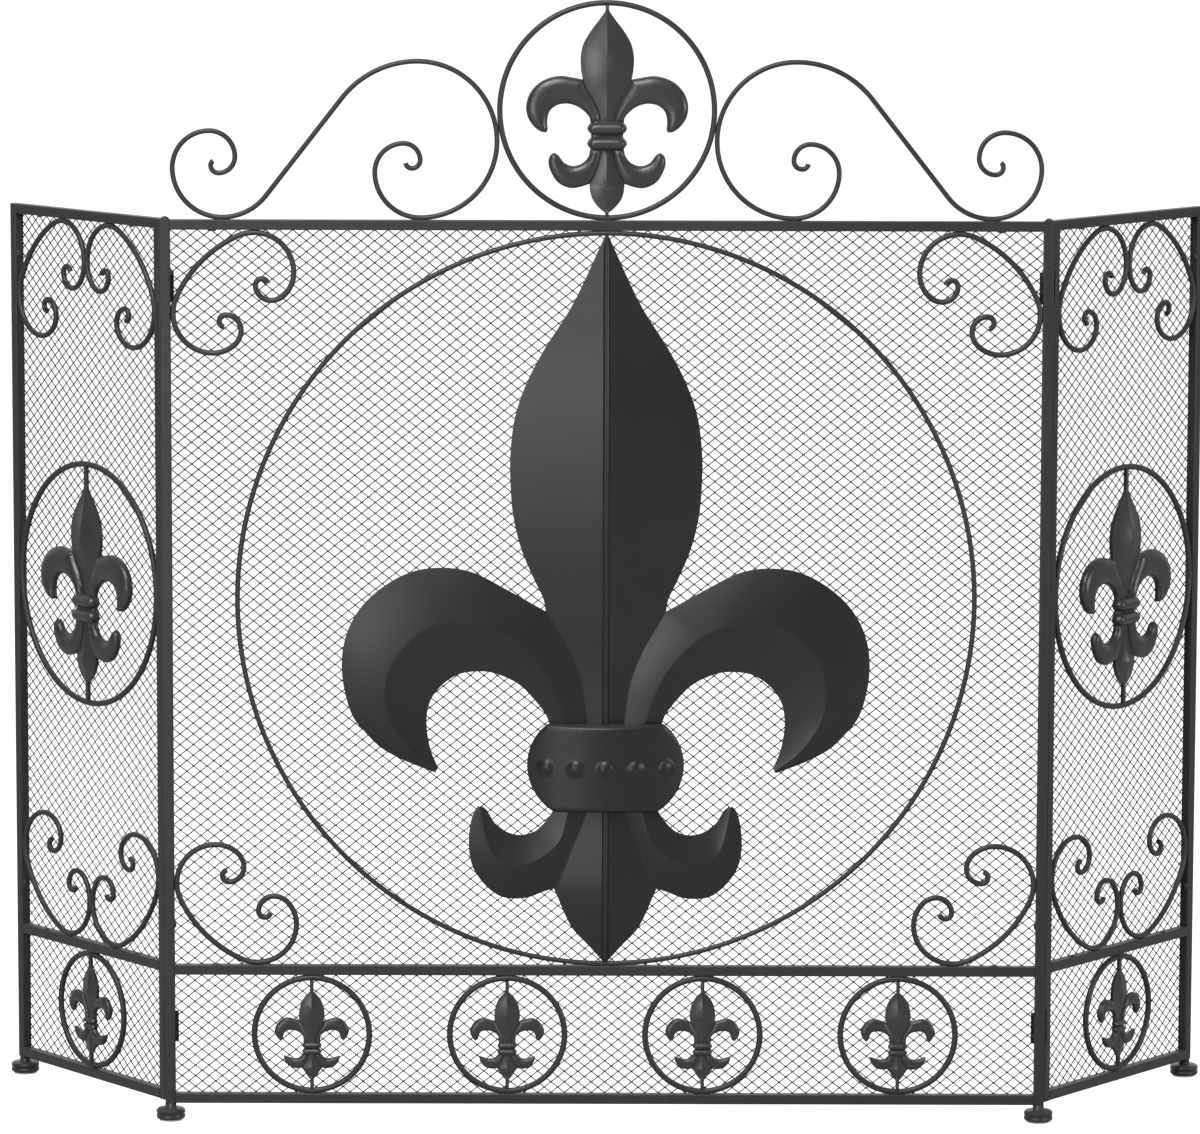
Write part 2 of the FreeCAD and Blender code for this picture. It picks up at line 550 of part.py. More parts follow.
def centre_panel():
    """Nodes of the centre panel, its crest and its feet, by name."""
    half, clear = CENTRE_WIDTH / 2, CENTRE_CLEAR / 2
    nodes = {
        "centre_left_post": tube(-half, BOTTOM, -clear, TOP),
        "centre_right_post": tube(clear, BOTTOM, half, TOP),
        "centre_top_rail": tube(-clear, PANEL_HIGH, clear, TOP),
        "centre_middle_rail": tube(-clear, BAND_HIGH, clear, PANEL_LOW),
        "centre_bottom_rail": tube(-clear, BOTTOM, clear, BAND_LOW),
        "centre_mesh": mesh(-clear, clear),
        "corner_scroll_top_left": corner_scroll(-clear, PANEL_HIGH, 1, -1, CENTRE_SCROLL_SCALE),
        "corner_scroll_top_right": corner_scroll(clear, PANEL_HIGH, -1, -1, CENTRE_SCROLL_SCALE),
        "corner_scroll_bottom_left": corner_scroll(-clear, PANEL_LOW, 1, 1, CENTRE_SCROLL_SCALE),
        "corner_scroll_bottom_right": corner_scroll(clear, PANEL_LOW, -1, 1, CENTRE_SCROLL_SCALE),
        "medallion_ring": ring(0, PANEL_MID, MEDALLION_OD + 2 * WELD, MEDALLION_ROD),
        "medallion_fleur": medallion_fleur(PANEL_MID),
        "medallion_collar": medallion_collar(PANEL_MID),
    }
    for i in range(BAND_RINGS):
        x = (i - (BAND_RINGS - 1) / 2) * BAND_PITCH
        nodes["band_ring_%d" % (i + 1)] = ring(x, BAND_MID, BAND_OD + 2 * WELD, BAND_ROD)
        nodes["band_fleur_%d" % (i + 1)] = small_fleur(x)
    nodes["crest_ring"] = ring(0, CREST_Z, CREST_OD, CREST_ROD)
    nodes["crest_fleur"] = large_fleur(0, CREST_Z, CREST_OD / 2 - CREST_ROD)
    nodes["crest_scroll_left"] = crest_scroll()
    nodes["crest_scroll_right"] = nodes["crest_scroll_left"].mirror(*FLIP)
    nodes["post_caps"] = both(post_cap(half - TUBE / 2))
    nodes["centre_feet"] = both(foot(half - TUBE / 2, TUBE / 2))
    nodes["centre_glides"] = both(glide(half - TUBE / 2, TUBE / 2))
    leaves = [centre_leaf(mid) for mid in hinge_centres()]
    pins = [hinge_pin(mid) for mid in hinge_centres()]
    nodes["centre_hinge_leaves"] = both(Part.makeCompound(leaves))
    nodes["hinge_pins"] = both(Part.makeCompound(pins))
    return nodes


# ---------------------------------------------------------------- wings
def wing_panel():
    """Right wing lying in its own plane: x from its inner edge, y from its front face."""
    w, t = WING_WIDTH, TUBE
    mid = w / 2
    post_in = tube(0, BOTTOM, t, TOP, [(0, TOP, 1, -1)])
    post_out = tube(w - t, BOTTOM, w, TOP, [(w, TOP, -1, -1)])
    rail = tube(0, PANEL_HIGH, w, TOP)
    for x, side in ((0, 1), (w, -1)):
        face = Part.Face(Part.makePolygon([V(x - side, -1, TOP + 1), V(x - side, -1, TOP - 3 * t),
                                           V(x + side * (3 * t), -1, TOP - 3 * t),
                                           V(x - side, -1, TOP + 1)]))
        rail = rail.cut(face.extrude(V(0, t + 2, 0)))
    nodes = {
        "inner_post": post_in,
        "outer_post": post_out,
        "top_rail": one(rail),
        "middle_rail": tube(t, BAND_HIGH, w - t, PANEL_LOW),
        "bottom_rail": tube(t, BOTTOM, w - t, BAND_LOW),
        "mesh": mesh(t, w - t),
    }
    k = WING_SCROLL_SCALE
    for name, z, up in (("top_scrolls", PANEL_HIGH, -1), ("bottom_scrolls", PANEL_LOW, 1)):
        nodes[name] = Part.makeCompound(corner_scroll(t, z, 1, up, k).Solids
                                        + corner_scroll(w - t, z, -1, up, k).Solids)
    nodes["ring"] = ring(mid, PANEL_MID, WING_RING_OD + 2 * WELD, BAND_ROD)
    nodes["fleur"] = large_fleur(mid, PANEL_MID, WING_RING_OD / 2 - BAND_ROD)
    nodes["lower_ring"] = ring(mid, BAND_MID, BAND_OD + 2 * WELD, BAND_ROD)
    nodes["lower_fleur"] = small_fleur(mid)
    nodes["foot"] = foot(w - t / 2, t / 2)
    nodes["glide"] = glide(w - t / 2, t / 2)
    leaves = [wing_leaf(m) for m in hinge_centres()]
    for name in nodes:
        nodes[name].translate(V(WING_S, WING_B, 0))
    nodes["hinge_leaves"] = Part.makeCompound(leaves)
    return nodes


def placed_wing(nodes):
    """Right wing at its angle on the hinge pins."""
    placed = {}
    for name, shape in nodes.items():
        shape = shape.copy()
        shape.rotate(V(0, 0, 0), V(0, 0, 1), WING_ANGLE)
        shape.translate(V(PIN_X, PIN_Y, 0))
        placed[name] = shape
    return placed


# ---------------------------------------------------------------- assembly
def depth_middle():
    """Half way between the frontmost bead and the back of the wing feet."""
    front = -(COLLAR_RISE + BEAD_RISE) * MEDALLION_SCALE
    s, b = WING_S + WING_WIDTH - TUBE / 2, WING_B + TUBE / 2
    back = PIN_Y + s * math.sin(SWING) + b * math.cos(SWING) + FOOT_RADIUS
    return (front + back) / 2


nodes = centre_panel()
for name, shape in placed_wing(wing_panel()).items():
    nodes["right_wing_" + name] = shape
    nodes["left_wing_" + name] = shape.mirror(*FLIP)

os.makedirs("parts", exist_ok=True)
shift = V(0, -depth_middle(), 0)
for name in sorted(nodes):
    shape = nodes[name].copy()
    shape.translate(shift)
    shape.exportStep("parts/" + name + ".step")
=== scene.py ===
"""Visual model of a three-panel fireplace screen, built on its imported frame."""

from __future__ import annotations

import json
import logging
import math
from dataclasses import dataclass, field
from enum import Enum
from typing import Any, Iterable, Sequence

import bmesh
import bpy
import numpy as np
from mathutils import Matrix, Vector
from mathutils.geometry import delaunay_2d_cdt

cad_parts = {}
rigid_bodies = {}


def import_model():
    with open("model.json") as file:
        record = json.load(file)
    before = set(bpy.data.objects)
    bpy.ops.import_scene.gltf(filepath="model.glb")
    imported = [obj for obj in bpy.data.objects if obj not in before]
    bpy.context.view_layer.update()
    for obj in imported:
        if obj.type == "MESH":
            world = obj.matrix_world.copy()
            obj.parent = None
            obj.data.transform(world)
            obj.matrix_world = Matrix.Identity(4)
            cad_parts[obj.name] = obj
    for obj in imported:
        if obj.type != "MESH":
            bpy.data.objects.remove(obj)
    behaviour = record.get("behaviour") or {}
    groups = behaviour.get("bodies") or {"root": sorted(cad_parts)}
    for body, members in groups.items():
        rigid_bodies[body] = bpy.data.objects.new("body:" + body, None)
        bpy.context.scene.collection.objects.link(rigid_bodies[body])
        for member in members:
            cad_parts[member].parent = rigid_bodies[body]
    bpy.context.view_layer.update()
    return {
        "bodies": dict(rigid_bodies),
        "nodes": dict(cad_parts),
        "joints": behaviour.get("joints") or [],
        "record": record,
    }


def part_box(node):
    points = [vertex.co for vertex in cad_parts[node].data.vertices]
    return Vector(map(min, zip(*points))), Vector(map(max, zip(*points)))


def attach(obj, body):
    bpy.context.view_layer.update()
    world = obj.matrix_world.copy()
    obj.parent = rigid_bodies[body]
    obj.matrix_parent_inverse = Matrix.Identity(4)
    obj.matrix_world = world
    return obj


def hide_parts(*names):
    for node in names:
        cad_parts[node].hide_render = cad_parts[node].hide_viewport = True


LOG = logging.getLogger("fireplace_screen")
MM = 0.001
ROW_STEP = 0.866
CLEAR_STEP = 0.45
WELD_GAP = 0.02

Point = tuple[float, float]
Point3 = tuple[float, float, float]
Step = tuple[float, float]
Run = Sequence[Point]


# ------------------------------------------------------------------ node trees
class Link:
    """Output of a node that takes part in expressions; each operation adds a Math node."""

    def __init__(self, tree: bpy.types.NodeTree, socket: bpy.types.NodeSocket) -> None:
        """Wrap one output socket of a tree."""
        self.tree = tree
        self.socket = socket

    def math(self, operation: str, *values: Link | float) -> Link:
        """Add a Math node.

        Args:
            operation: name of the operation.
            values: its inputs, in order.

        Returns:
            The result as a link.
        """
        node = self.tree.nodes.new("ShaderNodeMath")
        node.operation = operation
        for socket, value in zip(node.inputs, values):
            plug(self.tree, socket, value)
        return Link(self.tree, node.outputs[0])

    def __add__(self, other: Link | float) -> Link:
        """Sum."""
        return self.math("ADD", self, other)

    def __sub__(self, other: Link | float) -> Link:
        """Difference."""
        return self.math("SUBTRACT", self, other)

    def __rsub__(self, other: Link | float) -> Link:
        """Difference from a number."""
        return self.math("SUBTRACT", other, self)

    def __mul__(self, other: Link | float) -> Link:
        """Product."""
        return self.math("MULTIPLY", self, other)

    def __truediv__(self, other: Link | float) -> Link:
        """Quotient."""
        return self.math("DIVIDE", self, other)

    def __pow__(self, other: Link | float) -> Link:
        """Power."""
        return self.math("POWER", self, other)

    def least(self, other: Link | float) -> Link:
        """Smaller of two values."""
        return self.math("MINIMUM", self, other)

    def most(self, other: Link | float) -> Link:
        """Larger of two values."""
        return self.math("MAXIMUM", self, other)

    def floor(self) -> Link:
        """Whole part."""
        return self.math("FLOOR", self)

    __radd__ = __add__
    __rmul__ = __mul__


def plug(tree: bpy.types.NodeTree, socket: bpy.types.NodeSocket, value: Any) -> None:
    """Link or set one input socket.

    Args:
        tree: the tree that holds the socket.
        socket: the input.
        value: a Link, or a plain value.
    """
    if isinstance(value, Link):
        tree.links.new(value.socket, socket)
    else:
        socket.default_value = value


class Tree:
    """One node tree under construction."""

    def __init__(self, tree: bpy.types.NodeTree) -> None:
        """Start with an empty tree."""
        self.tree = tree
        tree.nodes.clear()

    def add(self, kind: str, settings: dict[str, Any] | None = None,
            values: dict[str | int, Any] | None = None, out: str | int = 0) -> Link:
        """Add any node.

        Args:
            kind: node type.
            settings: attributes that are set first; "stops" are a ramp's (place, tone) pairs.
            values: values or links of its inputs.
            out: the output to return.

        Returns:
            The chosen output as a link.
        """
        node = self.tree.nodes.new(kind)
        for name, value in (settings or {}).items():
            if name == "stops":
                ramp = node.color_ramp
                while len(ramp.elements) < len(value):
                    ramp.elements.new(0.5)
                for element, (place, tone) in zip(ramp.elements, value):
                    element.position, element.color = place, (tone, tone, tone, 1)
            else:
                setattr(node, name, value)
        for name, value in (values or {}).items():
            plug(self.tree, node.inputs[name], value)
        return Link(self.tree, node.outputs[out] if node.outputs else None)


class Modelling(Tree):
    """Geometry tree with named inputs for its sizes."""

    def __init__(self, name: str, floats: dict[str, float]) -> None:
        """Make the group.

        Args:
            name: name of the tree.
            floats: its size inputs and their defaults.
        """
        group = bpy.data.node_groups.new(name, "GeometryNodeTree")
        super().__init__(group)
        group.interface.new_socket("Geometry", in_out="INPUT", socket_type="NodeSocketGeometry")
        group.interface.new_socket("Geometry", in_out="OUTPUT", socket_type="NodeSocketGeometry")
        for label, value in floats.items():
            socket = group.interface.new_socket(label, in_out="INPUT", socket_type="NodeSocketFloat")
            socket.default_value = value
        group.interface.new_socket("Finish", in_out="INPUT", socket_type="NodeSocketMaterial")
        self.group = group
        self.inputs = group.nodes.new("NodeGroupInput")

    def given(self, label: str) -> Link:
        """Named input of the tree."""
        return Link(self.tree, self.inputs.outputs[label])

    def finish(self, geometry: Link) -> bpy.types.NodeTree:
        """End the tree in real geometry that carries its finish.

        Args:
            geometry: the geometry to hand out.

        Returns:
            The finished group.
        """
        real = self.add("GeometryNodeRealizeInstances", values={0: geometry})
        smooth = self.add("GeometryNodeSetShadeSmooth", values={0: real})
        dressed = self.add("GeometryNodeSetMaterial",
                           values={"Geometry": smooth, "Material": self.given("Finish")})
        self.add("NodeGroupOutput", values={"Geometry": dressed})
        return self.group


def grown(name: str, data: bpy.types.ID | None, group: bpy.types.NodeTree,
          values: dict[str, Any]) -> bpy.types.Object:
    """Run a geometry tree and keep its result as a plain mesh.

    Args:
        name: name of the piece.
        data: curve or mesh that the tree starts from; an empty mesh if None.
        group: the tree.
        values: its inputs by label.

    Returns:
        The piece.
    """
    seed = bpy.data.objects.new(name + "_seed", data or bpy.data.meshes.new(name + "_seed"))
    bpy.context.scene.collection.objects.link(seed)
    modifier = seed.modifiers.new("grow", "NODES")
    modifier.node_group = group
    sockets = {item.name: item.identifier for item in group.interface.items_tree
               if item.in_out == "INPUT"}
    for label, value in values.items():
        modifier[sockets[label]] = value
    seed.update_tag()
    bpy.context.view_layer.update()
    graph = bpy.context.evaluated_depsgraph_get()
    mesh = bpy.data.meshes.new_from_object(seed.evaluated_get(graph), depsgraph=graph)
    bpy.data.objects.remove(seed)
    mesh.name = name
    piece = bpy.data.objects.new(name, mesh)
    bpy.context.scene.collection.objects.link(piece)
    return piece


# ------------------------------------------------------------------ finishes
@dataclass(frozen=True)
class BlackPaint:
    """Black stoved paint: fine powder texture with slow patches of tone and gloss, and a painted
    highlight on upward faces.
    """

    name: str
    tone: tuple[float, float, float] = (0.016, 0.0148, 0.0153)
    rough: float = 0.42
    shine: float = 0.40
    grain_per_m: float = 1400.0
    grain_height: float = 0.00012
    patch_per_m: float = 16.0
    patch: float = 0.35
    streaks_per_patch: float = 9.0
    # strength and colour of the painted highlight that lightens upward faces
    top_highlight: float = 0.25
    top_highlight_tone: tuple[float, float, float, float] = (0.16, 0.15, 0.145, 1)

    def material(self) -> bpy.types.Material:
        """Build the material.

        Returns:
            The painted finish.
        """
        paint = bpy.data.materials.new(self.name)
        paint.use_nodes = True
        tree = Tree(paint.node_tree)
        place = tree.add("ShaderNodeTexCoord", out="Object")
        grain = tree.add("ShaderNodeTexNoise", values={
            "Vector": place, "Scale": self.grain_per_m, "Detail": 2.0, "Roughness": 0.6})
        patches = tree.add("ShaderNodeTexNoise", values={
            "Vector": place, "Scale": self.patch_per_m, "Detail": 4.0, "Roughness": 0.55})
        streak = tree.add("ShaderNodeTexNoise", values={
            "Vector": place, "Scale": self.patch_per_m * self.streaks_per_patch,
            "Detail": 3.0, "Roughness": 0.6})
        dark = tuple(c * (1 - self.patch) for c in self.tone) + (1,)
        light = tuple(c * (1 + self.patch) for c in self.tone) + (1,)
        colour = tree.add("ShaderNodeMix", {"data_type": "RGBA"},
                          {0: patches * 0.7 + streak * 0.3, 6: dark, 7: light}, out=2)
        facing = tree.add("ShaderNodeNewGeometry", out="Normal")
        upward = tree.add("ShaderNodeSeparateXYZ", values={0: facing}, out="Z")
        # painted highlight: upward faces are mixed towards a light grey and made a little rougher
        top_lit = upward.most(0.0) ** 3.0 * self.top_highlight * (0.4 + 0.6 * streak)
        top_lit_colour = tree.add("ShaderNodeMix", {"data_type": "RGBA"},
                         {0: top_lit, 6: colour, 7: self.top_highlight_tone}, out=2)
        rough = self.rough + (patches - 0.5) * 0.16 + (grain - 0.5) * 0.10 + top_lit * 0.25
        bump = tree.add("ShaderNodeBump", values={
            "Strength": 0.5, "Distance": self.grain_height, "Height": grain})
        surface = tree.add("ShaderNodeBsdfPrincipled", values={
            "Base Color": top_lit_colour, "Roughness": rough, "Normal": bump,
            "Specular IOR Level": self.shine})
        tree.add("ShaderNodeOutputMaterial", values={"Surface": surface})
        return paint


@dataclass(frozen=True)
class PalePad:
    """Moulded pale plastic of the glide pads, scuffed from sliding."""

    name: str = "pale_pad"
    worn: tuple[float, float, float, float] = (0.50, 0.47, 0.42, 1)
    clean: tuple[float, float, float, float] = (0.72, 0.70, 0.65, 1)
    scuffs_per_m: float = 420.0

    def material(self) -> bpy.types.Material:
        """Build the material.

        Returns:
            The plastic finish.
        """
        pad = bpy.data.materials.new(self.name)
        pad.use_nodes = True
        tree = Tree(pad.node_tree)
        place = tree.add("ShaderNodeTexCoord", out="Object")
        scuff = tree.add("ShaderNodeTexNoise", values={
            "Vector": place, "Scale": self.scuffs_per_m, "Detail": 5.0})
        colour = tree.add("ShaderNodeMix", {"data_type": "RGBA"},
                          {0: scuff, 6: self.worn, 7: self.clean}, out=2)
        bump = tree.add("ShaderNodeBump", values={"Strength": 0.3, "Distance": 0.0001, "Height": scuff})
        surface = tree.add("ShaderNodeBsdfPrincipled", values={
            "Base Color": colour, "Roughness": 0.45 + 0.25 * scuff, "Normal": bump})
        tree.add("ShaderNodeOutputMaterial", values={"Surface": surface})
        return pad


class Slot(Enum):
    """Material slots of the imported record."""

    FRAME = "frame_steel"
    MESH = "mesh_wire"
    CAST = "cast_iron"
    SHEET = "pressed_sheet"
    HINGE = "hinge_steel"
    PAD = "glide_pad"


class Paintshop:
    """Holds one material for each slot."""

    def __init__(self) -> None:
        """Mix all finishes."""
        self.pots = {
            Slot.FRAME: BlackPaint("frame_black").material(),
            # the mesh wire gets a weaker painted highlight on its upward faces
            Slot.MESH: BlackPaint("mesh_black", tone=(0.016, 0.014, 0.0145), rough=0.5,
                                  grain_height=0.00004, top_highlight=0.1).material(),
            Slot.CAST: BlackPaint("cast_black", tone=(0.0195, 0.0185, 0.0200), rough=0.32, shine=0.48,
                                  grain_per_m=900.0, grain_height=0.0002).material(),
            # pressed sheet: its tone is darker than the frame's paint, painted shade on the medallion
            Slot.SHEET: BlackPaint("sheet_black", tone=(0.0095, 0.0091, 0.0101), rough=0.36,
                                   shine=0.33, grain_per_m=1100.0, grain_height=0.00008, patch_per_m=7.0,
                                   patch=0.2).material(),
            Slot.HINGE: BlackPaint("hinge_black", rough=0.38, grain_height=0.00006).material(),
            Slot.PAD: PalePad().material(),
        }

    def coat(self, piece: bpy.types.Object, slot: Slot) -> None:
        """Give a piece one finish."""
        piece.data.materials.clear()
        piece.data.materials.append(self.pots[slot])


# ------------------------------------------------------------------ places
@dataclass(frozen=True)
class Panel:
    """One panel: its own axes run from its middle along it, back from its face, and up, in mm."""

    body: str
    prefix: str
    half: float
    to_world: Matrix

    def place(self, mesh: bpy.types.Mesh) -> None:
        """Move a mesh drawn in the panel's axes to its place in the frame."""
        mesh.transform(self.to_world)
        mesh.update()


@dataclass
class Surroundings:
    """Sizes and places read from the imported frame."""

    wing_angle: float = math.radians(51.5)
    wing_width: float = 214.0
    pin_to_wing: Point = (1.5, 1.7)
    tube: float = 8.0
    panels: list[Panel] = field(default_factory=list)
    levels: dict[str, float] = field(default_factory=dict)

    def read(self, joints: list[dict[str, Any]]) -> None:
        """Work the panels out from the frame.

        Args:
            joints: the frame's joints.
        """
        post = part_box("centre_left_post")
        scale = Matrix.Scale(MM, 4)
        self.panels = [Panel("centre_panel", "", -post[1].x / MM,
                             Matrix.Translation((0, post[0].y, 0)) @ scale)]
        along, behind = self.pin_to_wing
        for joint in joints:
            side = 1 if joint["pos_m"][0] > 0 else -1
            pin = Vector((joint["pos_m"][0], joint["pos_m"][1], 0))
            flat = Matrix.Translation((side * (along + self.wing_width / 2), behind, 0))
            turn = Matrix.Rotation(side * self.wing_angle, 4, "Z")
            self.panels.append(Panel(joint["child"], joint["child"] + "_",
                                     self.wing_width / 2 - self.tube,
                                     Matrix.Translation(pin) @ turn @ scale @ flat))
        low, mid, top = (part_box("centre_%s_rail" % name) for name in ("bottom", "middle", "top"))
        self.levels = {"band_low": low[1].z / MM, "band_high": mid[0].z / MM,
                       "low": mid[1].z / MM, "high": top[0].z / MM, "top": top[1].z / MM}


def new_mesh(name: str, bm: bmesh.types.BMesh, sharp: float = 35.0) -> bpy.types.Object:
    """Turn a bmesh into a smooth-shaded object.

    Args:
        name: name of the piece.
        bm: its geometry, freed here.
        sharp: edges over this many degrees stay sharp.

    Returns:
        The linked object.
    """
    mesh = bpy.data.meshes.new(name)
    bm.to_mesh(mesh)
    bm.free()
    soften(mesh, sharp)
    piece = bpy.data.objects.new(name, mesh)
    bpy.context.scene.collection.objects.link(piece)
    return piece


def soften(mesh: bpy.types.Mesh, sharp: float) -> None:
    """Shade a mesh smooth, except over sharp edges."""
    mesh.polygons.foreach_set("use_smooth", [True] * len(mesh.polygons))
    mesh.set_sharp_from_angle(angle=math.radians(sharp))


def smooth_run(points: Run, step: float) -> list[Point]:
    """Smooth line through points, as a Catmull-Rom curve.

    Args:
        points: points of the run; two points give a straight.
        step: spacing of the result.

    Returns:
        Points along the curve, both ends included.
    """
    if len(points) < 3:
        count = max(1, round(math.dist(*points) / step))
        return [tuple(np.add(points[0], np.subtract(points[1], points[0]) * i / count))
                for i in range(count + 1)]
    stops = [2 * np.array(points[0]) - points[1], *map(np.array, points),
             2 * np.array(points[-1]) - points[-2]]
    line: list[Point] = []
    for before, start, end, after in zip(stops, stops[1:], stops[2:], stops[3:]):
        count = max(1, round(float(np.linalg.norm(end - start)) / step))
        knots = np.cumsum([0.0, *(np.linalg.norm(b - a) ** 0.5 for a, b in
                                  ((before, start), (start, end), (end, after)))])
        for i in range(count):
            t = knots[1] + (knots[2] - knots[1]) * i / count
            a = [(knots[k + 1] - t) / (knots[k + 1] - knots[k]) * p
                 + (t - knots[k]) / (knots[k + 1] - knots[k]) * q
                 for k, (p, q) in enumerate(((before, start), (start, end), (end, after)))]
            b = [(knots[k + 2] - t) / (knots[k + 2] - knots[k]) * a[k]
                 + (t - knots[k]) / (knots[k + 2] - knots[k]) * a[k + 1] for k in (0, 1)]
            c = (knots[2] - t) / (knots[2] - knots[1]) * b[0] + (t - knots[1]) / (
                knots[2] - knots[1]) * b[1]
            line.append((float(c[0]), float(c[1])))
    line.append(tuple(points[-1]))
    return line


def close_sheet(name: str, front: np.ndarray, rear: np.ndarray,
                faces: Iterable[Sequence[int]], sharp: float) -> bpy.types.Object:
    """Close a sheet with its back and its edges.

    Args:
        name: name of the piece.
        front, rear: matching vertices of the two sides.
        faces: faces of the front.
        sharp: edges over this many degrees stay sharp.

    Returns:
        The closed piece.
    """
    bm = bmesh.new()
    near = [bm.verts.new(v) for v in front]
    far = [bm.verts.new(v) for v in rear]
    bm.verts.index_update()
    faces = list(faces)
    for face in faces:
        bm.faces.new([near[i] for i in face])
    rim = [(e.verts[0].index, e.verts[1].index) for e in bm.edges if len(e.link_faces) == 1]
    for face in faces:
        bm.faces.new([far[i] for i in reversed(face)])
    for a, b in rim:
        bm.faces.new([near[a], near[b], far[b], far[a]])
    bmesh.ops.delete(bm, geom=[v for v in bm.verts if not v.link_faces], context="VERTS")
    bmesh.ops.recalc_face_normals(bm, faces=bm.faces)
    return new_mesh(name, bm, sharp)


# ------------------------------------------------------------------ bent rods
@dataclass(frozen=True)
class Bend:
    """Path of tangent arcs: each step is (radius, turn in degrees), or (0, length) for a straight."""

    x: float
    z: float
    heading: float
    steps: tuple[Step, ...]

    def points(self, spacing: float = 0.9) -> list[Point]:
        """Points along the path.

        Args:
            spacing: the most that points are apart on an arc.

        Returns:
            The points, both ends included.
        """
        x, z, heading = self.x, self.z, self.heading
        line = [(x, z)]
        for radius, turn in self.steps:
            if radius == 0:
                x, z = x + turn * math.cos(heading), z + turn * math.sin(heading)
                line.append((x, z))
                continue
            side = 1 if turn > 0 else -1
            angle = math.radians(turn)
            cx, cz = x - side * radius * math.sin(heading), z + side * radius * math.cos(heading)
            count = max(6, round(abs(angle) * radius / spacing))
            for i in range(1, count + 1):
                way = heading + angle * i / count
                line.append((cx + side * radius * math.sin(way), cz - side * radius * math.cos(way)))
            (x, z), heading = line[-1], heading + angle
        return line


@dataclass
class Smithy:
    """Bends and welds every round rod of the screen."""

    shop: Paintshop
    space: Surroundings
    corner: tuple[Step, ...] = ((98, 20), (31, 115), (25, 45), (15, 45), (12, 90), (5, 90), (4.5, 80))
    corner_reach: float = 98.6
    corner_rod: float = 4.4
    crest_shoulder: tuple[Step, ...] = ((60, 90), (62, 90), (75, 52))
    crest_outer: tuple[Step, ...] = ((43.8, 52), (38.5, 90), (29, 90), (20, 90), (13, 90), (6, 90),
                                     (4, 60))
    crest_inner: tuple[Step, ...] = ((35.5, 90), (22.5, 90), (13, 90), (6.5, 90), (5, 80))
    crest_rod: float = 4.0
    crest_drawing: float = 264.0
    weld: float = 0.1
    joint_bead: Point = (6.4, 1.9)
    scroll_bead: Point = (3.6, 1.3)
    scroll_touch: float = 33.0
    bead_depth: float = 2.3
    least_bead: float = 1.6
    sides: float = 18.0
    crest_feet: Point = (0.0, 0.0)

    def __post_init__(self) -> None:
        """Draw the tree that sweeps a round section along a path."""
        tree = Modelling("bent_rod", {"Radius": 0.002, "Sides": self.sides})
        section = tree.add("GeometryNodeCurvePrimitiveCircle", {"mode": "RADIUS"},
                           {"Resolution": tree.given("Sides"), "Radius": tree.given("Radius")})
        swept = tree.add("GeometryNodeCurveToMesh", values={
            "Curve": tree.given("Geometry"), "Profile Curve": section, "Fill Caps": True})
        self.sweep = tree.finish(swept)

    def rod(self, name: str, panel: Panel, lines: Iterable[Run], rod: float, nodes: Sequence[str],
            closed: bool = False) -> None:
        """Make one rod piece and let it stand for its CAD nodes.

        Args:
            name: name of the piece.
            panel: the panel it is welded to.
            lines: its centre lines in the panel's axes.
            rod: rod diameter.
            nodes: CAD nodes that it replaces.
            closed: whether the lines are rings.
        """
        curve = bpy.data.curves.new(name, "CURVE")
        curve.dimensions = "3D"
        for line in lines:
            spline = curve.splines.new("POLY")
            spline.points.add(len(line) - 1)
            flat = [(*(panel.to_world @ Vector((x, rod / 2, z))), 1.0) for x, z in line]
            spline.points.foreach_set("co", [c for point in flat for c in point])
            spline.use_cyclic_u = closed
        piece = grown(name, curve, self.sweep, {
            "Radius": rod / 2 * MM, "Sides": self.sides, "Finish": self.shop.pots[Slot.FRAME]})
        soften(piece.data, 50.0)
        self.shop.coat(piece, Slot.FRAME)
        hand_over(piece, panel.body, nodes)

    def ring(self, node: str, panel: Panel, x: float = 0.0) -> None:
        """Bend one ring that has the size and height of its CAD node.

        Args:
            node: the CAD node.
            panel: the panel it is welded to.
            x: its centre along the panel.
        """
        low, high = (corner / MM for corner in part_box(node))
        rod = ring_rod(node)
        radius = (high.z - low.z - rod) / 2
        mid = (high.z + low.z) / 2
        count = max(48, round(radius * 2.2))
        line = [(x + radius * math.cos(t), mid + radius * math.sin(t))
                for t in (math.tau * i / count for i in range(count))]
        self.rod(node + "_rod", panel, [line], rod, [node], closed=True)

    def corner_line(self, x: float, z: float, right: int, up: int, scale: float) -> list[Point]:
        """Centre line of a C-scroll in an inner corner.

        Args:
            x, z: the corner.
            right, up: +1 or -1, pointing into the opening.
            scale: size against the drawing.

        Returns:
            Its points in the panel's axes.
        """
        arcs = [(r * scale, t) for r, t in self.corner]
        tilt, flat = math.radians(45), math.radians(25)
        near = (self.corner_rod / 2 - self.weld + arcs[0][0] * (math.cos(flat) - math.cos(tilt))
                + arcs[1][0] * (1 - math.cos(flat)))
        ahead = Bend(near, -near, tilt, tuple((r, -t) for r, t in arcs)).points()
        behind = Bend(near, -near, tilt + math.pi, tuple(arcs)).points()
        return [(x + right * px, z - up * pz) for px, pz in [*reversed(behind), *ahead[1:]]]

    def corners(self) -> None:
        """Bend the scrolls in the corners of the three upper openings."""
        levels = self.space.levels
        for panel in self.space.panels:
            scale = (self.space.wing_width / 2 - self.space.tube) / self.corner_reach
            for level, up in (("top", -1), ("bottom", 1)):
                z = levels["high"] if up < 0 else levels["low"]
                pair = {side: self.corner_line(-right * panel.half, z, right, up, scale)
                        for side, right in (("left", 1), ("right", -1))}
                if panel.prefix:
                    node = panel.prefix + level + "_scrolls"
                    self.rod(node + "_rods", panel, pair.values(), self.corner_rod, [node])
                else:
                    for side, line in pair.items():
                        node = "corner_scroll_%s_%s" % (level, side)
                        self.rod(node + "_rod", panel, [line], self.corner_rod, [node])

